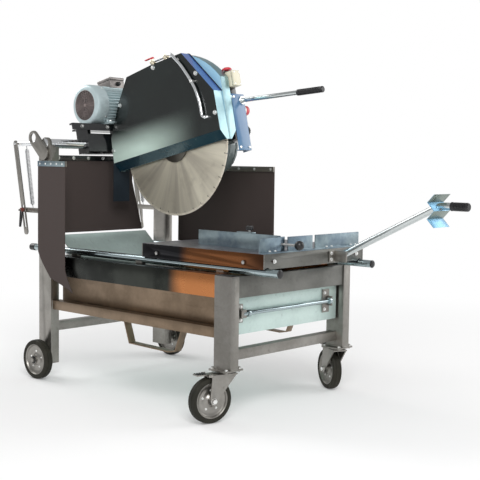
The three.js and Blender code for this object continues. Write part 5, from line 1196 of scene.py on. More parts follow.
@dataclass
class Curtains:
    """The rubber curtains round the saw, each a sheet riveted to a flat bar."""

    bench: Bench
    sheet: float = 4.0
    face: float = 427.0
    top: float = 1107.0

    def left(self, u: float, v: float) -> Point:
        """Places the left curtain, which hangs straight and then swings forward."""
        front_knee, rear_knee = 570.0, 650.0
        front_low, rear_low = (390.0, 459.0), (568.0, 518.0)
        straight = 0.76
        y = 450.0 + 221.0 * u
        knee = front_knee + (rear_knee - front_knee) * u
        if v <= straight:
            z = self.top + (knee - self.top) * (v / straight)
        else:
            share = (v - straight) / (1.0 - straight)
            y += (front_low[0] + (rear_low[0] - front_low[0]) * u - y) * share**1.25
            z = knee + (front_low[1] + (rear_low[1] - front_low[1]) * u - knee) * share
        fall = max(0.0, v - 0.08)
        wave = 1.6 * math.sin(5.4 * u + 2.2 * v) * fall + 1.3 * math.sin(3.0 * v + 1.0) * fall
        return (-self.face - self.sheet / 2 - wave, y, z)

    def right(self, u: float, v: float) -> Point:
        """Places the right curtain, which hangs almost flat."""
        fall = max(0.0, v - 0.1)
        wave = 3.4 * math.sin(9.5 * u + 0.6) * fall * fall
        return (self.face + self.sheet / 2 + wave, -176.0 + 706.0 * u, 1093.0 - 423.0 * v)

    def rear(self, u: float, v: float) -> Point:
        """Places the rear curtain, whose right edge flares out at its foot."""
        z = 1137.0 - 402.0 * v
        flare = 75.0 * max(0.0, (1000.0 - z) / 265.0)
        wave = 3.2 * math.sin(8.0 * u + 1.4) * max(0.0, v - 0.1)
        return (-340.0 + (530.0 + flare) * u, 654.0 + wave, z)

    def hung(
        self, node: str, place: Callable[[float, float], Point]
    ) -> None:
        """Makes one curtain as a curved sheet.

        Args:
            node: the node that it stands for, which names it too.
            place: the sheet's middle at a share across and a share down.
        """
        columns, rows = 26, 60
        piece = self.bench.sheet(place, columns, rows, self.sheet)
        piece = self.bench.finish(piece, f"{node}_sheet", "frame", CURTAIN, [node], 50.0)

    def rivets(self, name: str, places: Iterable[Point], way: Point, size: float = 1.0) -> None:
        """Sets domed rivets with washers along a curtain's top."""
        profile = [(0.0, 9.5), (1.2, 9.5), (1.3, 6.4), (2.6, 5.6), (3.6, 3.4), (3.9, 0.0)]
        stock = self.bench.turned(profile, Axis.Z, (0.0, 0.0), 24)
        made = self.bench.copies(stock, [aimed(at, way, size) for at in places])
        self.bench.finish(made, name, "frame", BOLT_ZINC)

    def build(self) -> None:
        """Builds the three curtains, the left one's strip, and the rivets."""
        self.hung("curtain_left", self.left)
        self.hung("curtain_right", self.right)
        self.hung("curtain_rear", self.rear)
        outside = self.face + self.sheet
        strip = outside + 2.2
        bar = self.bench.bar((-strip, 450.0, 1080.0), (-outside - 0.2, 671.0, self.top), 0.8)
        self.bench.finish(bar, "curtain_left_strip", "frame", FENCE_ZINC)
        row = [(-strip, 470.0 + 45.25 * i, self.top - 13.5) for i in range(5)]
        self.rivets("curtain_left_rivets", row, LEFT, 0.55)
        along = [-156.0 + 111.0 * i for i in range(7)]
        self.rivets("curtain_right_rivets", [(outside, y, 1079.5) for y in along], RIGHT)
        inside = self.face - 7.7
        self.rivets("curtain_right_washers", [(inside, y, 1079.5) for y in along[:6]], LEFT, 0.8)
        row = [(-320.0 + 98.0 * i, 645.8, 1123.5) for i in range(6)]
        self.rivets("curtain_rear_rivets", row, FRONT)


@dataclass
class DepthGear:
    """The pivot shaft with its lever arms, and the slotted bars, springs and clamps behind the posts."""

    bench: Bench
    pivot_y: float = 624.0
    pivot_z: float = 1195.0
    shaft: float = 24.0
    half_span: float = 420.7
    lever_x: float = 385.0
    lever: float = 13.0
    reach: float = 279.0
    bar_x: float = 402.0
    stud_y: float = 833.0
    stud_z: float = 850.0
    coil: float = 9.3
    wire: float = 1.9
    curls: int = 44

    def build(self) -> None:
        """Builds the shaft, levers, bars, springs and handles."""
        self.shaft_and_levers()
        for name, side in SIDES:
            node = f"depth_bar_{name}"
            self.bench.dressed(node, "flat", node, ZINC, 0.9)
            self.spring(f"spring_{name}", side)
            self.handle(f"clamp_handle_{name}", side)

    def shaft_and_levers(self) -> None:
        """Builds the polished pivot shaft and its two lever arms."""
        bench, y, z = self.bench, self.pivot_y, self.pivot_z
        parts = [bench.rod(Axis.X, -self.half_span, self.half_span, (y, z), self.shaft, 1.5, 72)]
        for _name, side in SIDES:
            pin_y = y + self.reach
            x, outer = side * self.lever_x, side * (self.bar_x + 6.6)
            bead_y, bead_z = y + 24.0, z + 8.0
            parts.append(bench.rod(Axis.Y, y, pin_y + 10.0, (x, z), self.lever, 2.0))
            parts.append(bench.weld((x - 11.0, bead_y, bead_z), (x + 11.0, bead_y, bead_z), 3.2))
            parts.append(bench.rod(Axis.X, min(x, outer), max(x, outer), (pin_y, z), 6.0, 0.8))
        bench.finish(parts, "pivot_shaft_bar", "head", SHAFT_CHROME, ["pivot_shaft"])

    def spring(self, node: str, side: int) -> None:
        """Winds one return spring between its clamp arm and its lever."""
        foot = Vector((side * 384.0, 777.0, self.stud_z + 12.3))
        head = Vector((side * 384.0, 832.0, self.pivot_z - self.lever - 0.3))
        axis = head - foot
        length = axis.length
        axis.normalize()
        across = Vector((1.0, 0.0, 0.0))
        along = axis.cross(across)
        tail, turn_steps = 14.0, 16
        points = [tuple(foot), tuple(foot + axis * (tail / 2))]
        count = self.curls * turn_steps
        for i in range(count + 1):
            turn = i / turn_steps
            radius = self.coil * min(1.0, turn, self.curls - turn)
            at = foot + axis * (tail + (length - 2 * tail) * i / count)
            away = spot((0.0, 0.0), radius, 2 * math.pi * turn)
            points.append(tuple(at + across * away[0] + along * away[1]))
        points += [tuple(head - axis * (tail / 2)), tuple(head)]
        wire = self.bench.tube(points, self.wire, (), 2)
        self.bench.finish(wire, f"{node}_coil", "frame", SPRING_STEEL, [node], 60.0)

    def handle(self, node: str, side: int) -> None:
        """Builds one clamp handle: a boss and a tapered arm."""
        inner, thick = side * (self.bar_x + 3.6), 16.0
        profile = [(0.0, 0.0), (0.0, 10.5), (1.5, 12.0), (thick - 2.0, 12.0), (thick, 9.5), (thick, 0.0)]
        at = (self.stud_y, self.stud_z)
        boss = self.bench.turned(shifted(inner, side, profile), Axis.X, at, 32)
        arm_x = inner + side * (thick - 6.0)
        tip = (arm_x + side * 10.0, self.stud_y, self.stud_z - 88.0)
        arm = self.bench.between((arm_x, self.stud_y, self.stud_z - 6.0), tip, 9.5, 6.0, 2.5)
        self.bench.finish(arm, f"{node}_lever", node, BLACK_GRIP, [node], 45.0)
        self.bench.finish(boss, f"{node}_boss", node, RUST_RED, (), 45.0)


@dataclass
class Wheels:
    """Four solid-tyred wheels: two on fixed axles behind, two in braked casters in front."""

    datum: Matrix
    radius: float = 100.0
    rim: float = 76.0
    trail: float = 80.0
    caster_x: float = 396.0
    caster_y: float = -625.0
    rear_x: float = 466.0
    rear_y: float = 625.0
    angles: tuple[float, float] = (76.3, -26.8)

    def build(self) -> None:
        """Builds the rear wheels and the casters."""
        for (name, side), angle in zip(SIDES, self.angles):
            self.wheel(Bench(self.datum), f"rear_wheel_{name}", side * self.rear_x, self.rear_y, 10.8)
            at = Matrix.Translation((side * self.caster_x, self.caster_y, 0.0))
            turn = Matrix.Rotation(math.radians(angle), 4, "Z")
            self.caster(Bench(self.datum @ at @ turn), name)

    def wheel(self, bench: Bench, node: str, x: float, y: float, bore: float) -> None:
        """Builds one wheel: a rounded tyre on a pressed and plated rim.

        Args:
            bench: the tools of the wheel's drawing frame.
            node: the node that the wheel stands for, which names its body too.
            x: the middle of the tyre.
            y: the axle's place.
            bore: the radius of its hole.
        """
        radius, rim, centre = self.radius, self.rim, (y, self.radius)
        tread = [(19.0, rim), (21.6, rim + 2.5), (22.5, rim + 8.0), (22.0, radius - 8.0)]
        tread += [(19.5, radius - 3.6), (14.0, radius - 1.0), (11.0, radius - 0.5)]
        tread += [(10.4, radius - 2.2), (8.6, radius - 2.2), (8.0, radius - 0.2), (2.0, radius)]
        face = [(17.0, rim + 0.5), (20.4, rim + 1.0), (20.8, rim - 1.5), (18.5, rim - 4.0)]
        face += [(12.5, rim - 6.5), (8.4, rim - 13.0), (7.2, 52.0), (8.8, 46.0), (8.8, 40.0)]
        face += [(7.6, 34.0), (9.4, 28.5), (14.0, 24.0), (16.5, 20.6), (26.6, 20.0), (28.0, 18.6)]
        face += [(28.0, bore)]
        for half, word, finish, replaces, smooth, steps in (
            (tread, "tyre", TYRE, [node], 28.0, 96),
            (face, "rim", ZINC, (), 30.0, 72),
        ):
            profile = shifted(x, -1.0, half) + shifted(x, 1.0, reversed(half))
            made = bench.turned([*profile, profile[0]], Axis.X, centre, steps)
            bench.finish(made, f"{node}_{word}", node, finish, replaces, smooth)
        ring = [(24.0, 19.4), (29.0, 19.6), (29.6, 18.2), (29.6, 13.6), (28.4, 12.4), (24.0, 12.4)]
        ring.append(ring[0])
        seals = [bench.turned(shifted(x, way, ring), Axis.X, centre, 40) for way in (-1.0, 1.0)]
        bench.finish(seals, f"{node}_bearing_seals", node, BLACK_GRIP, (), 30.0)
        heads = []
        for i in range(5):
            at = spot(centre, 43.0, 2 * math.pi * i / 5 + 0.3)
            heads += [((x + way[0] * 8.4, *at), way) for way in (LEFT, RIGHT)]
        bench.bolts(f"{node}_rim_bolts", node, heads, 0.5)

    def caster(self, bench: Bench, name: str) -> None:
        """Builds one caster: its fork, ball race, axle nuts, pedal and wheel."""
        fork, pedal = f"caster_{name}", f"brake_pedal_{name}"
        bench.dressed(f"caster_fork_{name}", "pressing", fork, ZINC, 1.5)
        low, high = 212.2, 219.6
        profile = [(low, 29.0), (214.5, 33.5), (216.5, 34.5), (218.6, 33.5), (high, 30.0)]
        profile += [(high, 9.0), (low, 9.0), (low, 29.0)]
        race = bench.turned(profile, Axis.Z, (0.0, 0.0), 56)
        bench.finish(race, f"{fork}_ball_race", fork, BOLT_ZINC)
        ends = [((way[0] * 35.0, self.trail, self.radius), way) for way in (RIGHT, LEFT)]
        bench.bolts(f"{fork}_axle_nuts", fork, ends, 1.25)
        bench.dressed(pedal, "plate", pedal, ZINC, 1.3)
        ribs = [
            bench.bar((-17.0, self.trail + y, 214.1), (17.0, self.trail + 5.0 + y, 220.6), 1.0)
            for y in (31.0, 43.0, 55.0, 67.0)
        ]
        bench.finish(ribs, f"{pedal}_treads", pedal, BLACK_GRIP)
        self.wheel(bench, f"caster_wheel_{name}", 0.0, self.trail, 6.8)


@dataclass
class RollingTable:
    """The table on its four grooved rollers, with both fences, the clamp and the push handle."""

    bench: Bench
    half: float = 352.0
    front: float = -795.0
    rear: float = -35.0
    top: float = 731.0
    push_x: float = 150.0

    def build(self) -> None:
        """Builds the table and everything that rolls with it."""
        sheet = self.bench.soften(self.bench.from_cad("table"), 1.4)
        sheet.data.materials.append(TABLE_ZINC.material())
        # The table's zinc is split by face direction: the sides get near-black zinc with a painted
        # copper-brown reflection, and the front faces a darker zinc as painted shade.
        self.bench.paint(sheet, SKIRT_ZINC, lambda normal, _centre: abs(normal.x) > 0.9)
        self.bench.paint(sheet, DIM_ZINC, lambda normal, _centre: normal.y < -0.9)
        self.bench.finish(sheet, "table_sheet", "table", TABLE_ZINC, ["table"])
        for node in ("cross_fence", "side_fence"):
            self.bench.dressed(node, "angle", "table", FENCE_ZINC, 1.1)
        for node in ("rollers_front", "rollers_rear"):
            self.bench.dressed(node, "axle", node, PLAIN_STEEL, 0.7)
        self.fixings()
        self.clamp()
        self.knob()
        self.push_handle()
        self.hip_plate()
        self.push_grip()

    def fixings(self) -> None:
        """Sets the bolts of the front skirt and the fences, and the welds of the table's corners."""
        bolts = self.bench.bolts
        heads = [((side * 292.0, self.front - 6.0, 699.0), FRONT) for _name, side in SIDES]
        bolts("table_skirt_bolts", "table", heads, 0.85)
        across, along = (-305.0, -269.0, 88.0, 124.0, 269.0, 305.0), (-700.0, -560.0, -420.0, -280.0)
        bolts("cross_fence_bolts", "table", [((x, -784.5, self.top + 8.6), UP) for x in across], 0.62)
        bolts("side_fence_bolts", "table", [((-172.0, y, self.top + 6.0), UP) for y in along], 0.6)
        corners = [
            self.bench.weld((side * (self.half - 0.5), y, 667.0), (side * (self.half - 0.5), y, 729.0), 1.8)
            for _name, side in SIDES
            for y in (self.front + 0.5, self.rear - 0.5)
        ]
        self.bench.finish(corners, "table_corner_welds", "table", WELD_ZINC)

    def clamp(self) -> None:
        """Builds the clamp screw with its rolled thread and ball knob."""
        node, start, end, at, core = "clamp_screw", -752.3, -852.3, (-190.0, 764.0), 5.2
        rod = self.bench.rod(Axis.Y, end, start, at, core, 0.6, 28)
        turns, steps, radius = 34, 10, 21.0
        thread = []
        for i in range(turns * steps + 1):
            y = start - 3.0 + (end + 24.0 - start) * i / (turns * steps)
            thread.append(placed(Axis.Y, y, spot(at, core, 2 * math.pi * i / steps)))
        ridge = self.bench.tube(thread, 0.75, (), 1)
        angles = [math.pi * i / 20 for i in range(21)]
        profile = [(end - radius * math.cos(angle), radius * math.sin(angle)) for angle in angles]
        ball = self.bench.turned(profile, Axis.Y, at, 40)
        self.bench.finish([rod, ridge], f"{node}_rod", node, PLAIN_STEEL, [node], 50.0)
        self.bench.finish(ball, f"{node}_ball", node, BLACK_GRIP, (), 60.0)

    def knob(self) -> None:
        """Builds the lobed knob that sets the side fence."""
        node, at, foot = "fence_knob", (-190.0, -565.0), 806.3
        stem = self.bench.rod(Axis.Z, foot, foot + 20.0, at, 5.0, 0.5, 24)
        profile = [(8.0, 0.0), (8.0, 12.5), (10.0, 14.0), (25.0, 14.0), (28.0, 11.0), (28.0, 0.0)]
        body = [self.bench.turned(shifted(foot, 1.0, profile), Axis.Z, at, 40)]
        for i in range(6):
            place = spot(at, 12.0, math.pi * i / 3)
            body.append(self.bench.rod(Axis.Z, foot + 9.0, foot + 26.5, place, 4.9, 1.4, 20))
        self.bench.finish(body, f"{node}_lobes", node, BLACK_GRIP, [node], 45.0)
        self.bench.finish(stem, f"{node}_stem", node, PLAIN_STEEL)

    def push_handle(self) -> None:
        """Builds the bent push tube and its bolted socket."""
        x = self.push_x
        start, bend, end = (x, -817.0, 697.0), (x, -1330.0, 945.0), (x, -1395.0, 945.0)
        tube = self.bench.tube(rounded([start, bend, end], 46.0), 16.0, (), 10)
        self.bench.finish(tube, "push_handle_tube", "table", TUBE_CHROME, ["push_handle"], 50.0)
        socket = [
            self.bench.bar((128.0, -865.0, 672.0), (137.0, -798.0, 722.0), 1.4),
            self.bench.bar((91.0, -801.0, 672.0), (137.0, -795.0, 722.0), 1.4),
            self.bench.weld((138.0, -862.0, 715.0), (138.0, -822.0, 696.0), 2.8),
        ]
        self.bench.finish(socket, "push_handle_socket", "table", ZINC)
        heads = [((104.0, -801.0, z), FRONT) for z in (684.0, 710.0)]
        self.bench.bolts("push_handle_bolts", "table", heads, 0.75)

    def hip_plate(self) -> None:
        """Builds the zigzag hip plate behind the grip, with painted reflections of sky and ground on its
        facets, and welds it on.
        """
        facets, width, swing, thick = 4, 125.0, 33.0, 4.0
        low, high, x = 856.0, 995.0, self.push_x
        left = x - 2.5 - width / 2
        front, back = [], []
        for i in range(facets + 1):
            y = -1325.0 + (-swing / 2 if i % 2 == 0 else swing / 2)
            z = low + i * (high - low) / facets
            front.append((y - thick / 2, z))
            back.append((y + thick / 2, z))
        plate = self.bench.plate([*front, *reversed(back)], Axis.X, left, left + width, 0.9)
        # Facets facing up get a sky-blue painted reflection, those facing down and forward a grey painted
        # ground reflection.
        plate.data.materials.append(HIP_SKY_REFLECTION.material())
        self.bench.paint(plate, HIP_GROUND_REFLECTION, lambda normal, _centre: normal.y < 0.0 and normal.z < 0.0)
        self.bench.finish(plate, "hip_plate_zigzag", "table", HIP_SKY_REFLECTION)
        ring = self.bench.weld((x - 17.0, -1341.0, 931.0), (x + 17.0, -1341.0, 931.0), 2.6)
        self.bench.finish(ring, "hip_plate_weld", "table", WELD_ZINC)

    def push_grip(self) -> None:
        """Builds the push handle's ribbed grip."""
        end, start, ribs = -1468.0, -1386.0, 9
        profile = [(end, 0.0), (end, 14.0), (end + 3.0, 17.6)]
        for i in range(ribs):
            rib = [(0.0, 18.6), (3.4, 18.6), (4.4, 17.0), (6.2, 17.0)]
            profile += shifted(end + 8.0 + i * 7.0, 1.0, rib)
        profile += shifted(start, 1.0, [(-6.0, 19.0), (0.0, 19.0), (1.0, 16.2), (-4.0, 14.0)])
        grip = self.bench.turned(profile, Axis.Y, (self.push_x, 945.0), 40)
        self.bench.finish(grip, "push_handle_grip", "table", BLACK_GRIP, (), 30.0)


@dataclass
class Head:
    """What the pieces on the saw head share: the blade's axis and the motor's axis."""

    bench: Bench
    blade_x: float = 15.0
    blade_y: float = 140.0
    blade_z: float = 1096.0
    blade_radius: float = 362.5
    motor_y: float = 600.0
    motor_z: float = 1400.0

    def about(self, x: float, shares: Iterable[Flat]) -> list[Point]:
        """Returns points beside the blade, given as shares of its radius from its axis."""
        radius = self.blade_radius
        return [(x, self.blade_y + u * radius, self.blade_z + v * radius) for u, v in shares]


@dataclass
class SawHead(Head):
    """The swinging head: fabricated arm, pressed guard, blade, belt guard and rear flap."""

    guard_half: float = 55.0
    hem_top: float = 1082.0

    def build(self) -> None:
        """Builds and dresses the head."""
        self.bench.dressed("head_arm", "weldment", "head", ARM_BLACK, 1.5)
        # The flanges are steel finished near-black: painted shade under the guard.
        self.bench.dressed("blade_shaft", "flanges", "blade", FLANGE_PAINTED_SHADE, 0.8)
        self.guard()
        self.blade()
        self.belt_guard()
        self.flap()

    def is_hem(self, normal: Vector, centre: Vector) -> bool:
        """Says whether a face is on the guard's slanted hem."""
        return centre.z < self.hem_top and abs(normal.x) > 0.2

    def is_front(self, normal: Vector, _centre: Vector) -> bool:
        """Says whether a face is on the guard's front facet."""
        return normal.y < -0.93

    def is_brow(self, normal: Vector, _centre: Vector) -> bool:
        """Says whether a face is on the slope over the front facet."""
        return -0.93 <= normal.y < -0.45 and normal.z > 0.2

    def is_web(self, normal: Vector, centre: Vector) -> bool:
        """Says whether a face is on the web that closes the right half's front."""
        return normal.x < -0.9 and abs(centre.x - self.blade_x) < 1.0

    def guard(self) -> None:
        """Dresses the two halves of the guard, with painted sky reflections on their facets, and adds their
        seam strip and bolts.
        """
        bench = self.bench
        for name, side in SIDES:
            piece = bench.soften(bench.from_cad(f"guard_{name}"), 1.8, 3)
            piece.data.materials.append(GUARD_GREEN.material())
            # The hem, front facet, brow and web get their own colours by face direction: painted reflections
            # of the sky on the black guard.
            bench.paint(piece, GUARD_HEM_REFLECTION, self.is_hem)
            bench.paint(piece, GUARD_FRONT_REFLECTION, self.is_front)
            bench.paint(piece, GUARD_BROW_REFLECTION if side < 0 else GUARD_FRONT_REFLECTION, self.is_brow)
            bench.paint(piece, GUARD_WEB_REFLECTION, self.is_web)
            bench.finish(piece, f"guard_{name}_shell", "head", GUARD_GREEN, [f"guard_{name}"])
        shares = [(1.162, 0.331), (0.895, 0.79), (0.643, 1.112), (0.11, 1.144)]
        shares += [(-0.512, 1.141), (-1.012, 0.495)]
        strip = bench.tube(rounded(self.about(self.blade_x, shares), 14.0), 2.6, (), 3)
        bench.finish(strip, "guard_seam_strip", "head", ARM_BLACK, (), 60.0)
        shares = [(0.066, 1.087), (-0.726, 0.794), (-0.974, 0.199), (0.855, 0.745)]
        shares += [(1.125, 0.141), (-0.42, 1.06)]
        heads = [(at, LEFT) for at in self.about(self.blade_x - self.guard_half, shares)]
        bench.bolts("guard_left_bolts", "head", heads, 1.0)
        right, centre, reach = self.blade_x + self.guard_half, (self.blade_y, self.blade_z), 395.0
        turns = (0.35, 0.85, 1.35, 1.85, 2.35, 2.75)
        heads = [((right, *spot(centre, reach, turn)), RIGHT) for turn in turns]
        bench.bolts("guard_right_bolts", "head", heads, 0.85)

    def blade(self) -> None:
        """Builds the blade: a ground core with keyhole slots whose walls carry painted shade, and diamond
        segments on its rim.
        """
        bench, centre, radius = self.bench, (self.blade_y, self.blade_z), self.blade_radius
        slots, gap, depth, rim, keyhole = 36, 3.0, 17.0, 10.0, 3.4
        pitch = 2 * math.pi / slots
        half = gap / 2 / radius
        core_radius, root = radius - rim, radius - depth
        outline = []
        for i in range(slots):
            start = i * pitch
            outline += [(core_radius, start - half), (root + keyhole, start - half)]
            for k in range(7):
                turn = math.pi * (0.18 + 0.64 * k / 6)
                inward = root - keyhole * math.sin(turn) + 1.5
                outline.append((inward, start - keyhole * math.cos(turn) / root))
            outline += [(root + keyhole, start + half), (core_radius, start + half)]
            outline += [(core_radius, start + half + (pitch - 2 * half) * k / 4) for k in range(1, 4)]
        points = [spot(centre, reach, turn) for reach, turn in outline]
        low, high = self.blade_x - 1.7, self.blade_x + 1.7
        core = bench.plate(points, Axis.X, low, high, 0.0)
        arbour = bench.rod(Axis.X, low - 5.0, high + 5.0, centre, 15.6, 0.0)
        bench.applied(core, "BOOLEAN", operation="DIFFERENCE", solver="EXACT", object=arbour)
        bpy.data.objects.remove(arbour)
        here = bench.datum @ Vector((self.blade_x, *centre))
        # bright is the colour of the painted highlight rays, dull the colour between them.
        bright, dull = (0.88, 0.83, 0.68), (0.5, 0.46, 0.38)
        steel = BladeSteel("blade_core_steel", "steel", bright, dull, centre_y=here.y, centre_z=here.z)
        core.data.materials.append(steel.material())

        def is_slot(normal: Vector, middle: Vector) -> bool:
            """Says whether a face is a wall of a slot."""
            reach = math.hypot(middle.y - self.blade_y, middle.z - self.blade_z)
            return abs(normal.x) < 0.5 and 300.0 < reach < core_radius - 0.5

        # The slot walls are painted near-black: painted shade in the slots.
        bench.paint(core, SLOT_PAINTED_SHADE, is_slot)
        bench.finish(core, "blade_core", "blade", steel, ["blade"], 25.0)
        arcs, axis = 5, (0.0, 0.0)
        turns = [half + (pitch - 2 * half) * k / arcs for k in range(arcs + 1)]
        inner = [spot(axis, core_radius - 0.2, turn) for turn in turns]
        outer = [spot(axis, radius, turn) for turn in reversed(turns)]
        segment = bench.plate([*inner, *outer], Axis.X, -2.0, 2.0, 0.3)
        middle = Matrix.Translation((self.blade_x, *centre))
        segments = bench.copies(segment, [middle @ Matrix.Rotation(i * pitch, 4, "X") for i in range(slots)])
        bench.finish(segments, "blade_segments", "blade", DIAMOND, (), 25.0)

    def belt_guard(self) -> None:
        """Dresses the belt guard and adds its rolled rims, screws, and black rods standing for painted shade
        in its cooling slots.
        """
        bench, blade, motor = self.bench, (self.blade_y, self.blade_z), (self.motor_y, self.motor_z)
        bench.dressed("belt_guard", "drum", "head", BELT_GREY, 6.0)
        reach = (motor[0] - blade[0], motor[1] - blade[1])
        heading = math.atan2(reach[1], reach[0])
        front, rear = 155.6, 110.6
        spread = math.acos((front - rear) / math.hypot(*reach))
        line = [spot(blade, front, heading + spread + (2 * math.pi - 2 * spread) * i / 24) for i in range(25)]
        line += [spot(motor, rear, heading - spread + 2 * spread * i / 18) for i in range(19)]
        line.append(line[0])
        bands = [bench.tube([(x, *at) for at in line], 2.2, (), 2) for x in (254.0, 301.0)]
        bench.finish(bands, "belt_guard_rolled_rims", "head", BELT_GREY, (), 60.0)

        def beside(share: float, wide: float) -> Flat:
            """Returns the point at a share of the way to the motor and at a distance above that way."""
            y = blade[0] + reach[0] * share - math.sin(heading) * wide
            return (y, blade[1] + reach[1] * share + math.cos(heading) * wide)

        screws = []
        for share, side in ((0.0, 0.62), (0.0, -0.62), (0.5, 0.5), (0.5, -0.5), (1.0, 0.62), (1.0, -0.62)):
            screws.append(((315.0, *beside(share, (front + (rear - front) * share) * side)), RIGHT))
        bench.bolts("belt_guard_screws", "head", screws, 0.8)
        # Black rods on the cover's face stand for the shade inside the cooling slots: painted shade.
        slots = []
        for i in range(7):
            share = 0.32 + 0.06 * i
            ends = [(315.4, *beside(share, wide)) for wide in (-38.0, 38.0)]
            slots.append(bench.tube(ends, 3.4, (), 3))
        bench.finish(slots, "belt_guard_louvre_painted_shade", "head", ARM_BLACK, (), 60.0)

    def flap(self) -> None:
        """Builds the rubber flap behind the guard, bolted at its top and curled at its foot."""
        bench, columns, rows = self.bench, 22, 36
        lap, length, top_out = 30.0, 200.0, 2.8
        corner_y = self.blade_y + 1.159 * self.blade_radius
        down = (bench.datum.inverted().to_3x3() @ Vector((0.0, 0.0, -1.0))).normalized()

        def place(u: float, v: float) -> Point:
            """Places the flap, which lies on the guard and then hangs."""
            drop = -lap + (length + lap) * v
            x = self.blade_x - self.guard_half + 2 * self.guard_half * u
            if drop < 0.0:
                return (x, corner_y + top_out + drop * 0.038, self.hem_top - drop)
            curl = 3.0 * math.sin(2.6 * u + 0.3) * (drop / length) ** 1.5
            return (x, corner_y + top_out + down.y * drop + curl, self.hem_top + down.z * drop)

        piece = bench.sheet(place, columns, rows)
        piece = bench.finish(piece, "rear_flap_sheet", "head", FLAP, ["rear_flap"], 50.0)
        z, out = self.hem_top + 16.0, (0.0, 1.0, 0.04)
        heads = [((self.blade_x + x, corner_y + 3.8, z), out) for x in (-38.0, 38.0)]
        bench.bolts("rear_flap_bolts", "head", heads, 0.7)


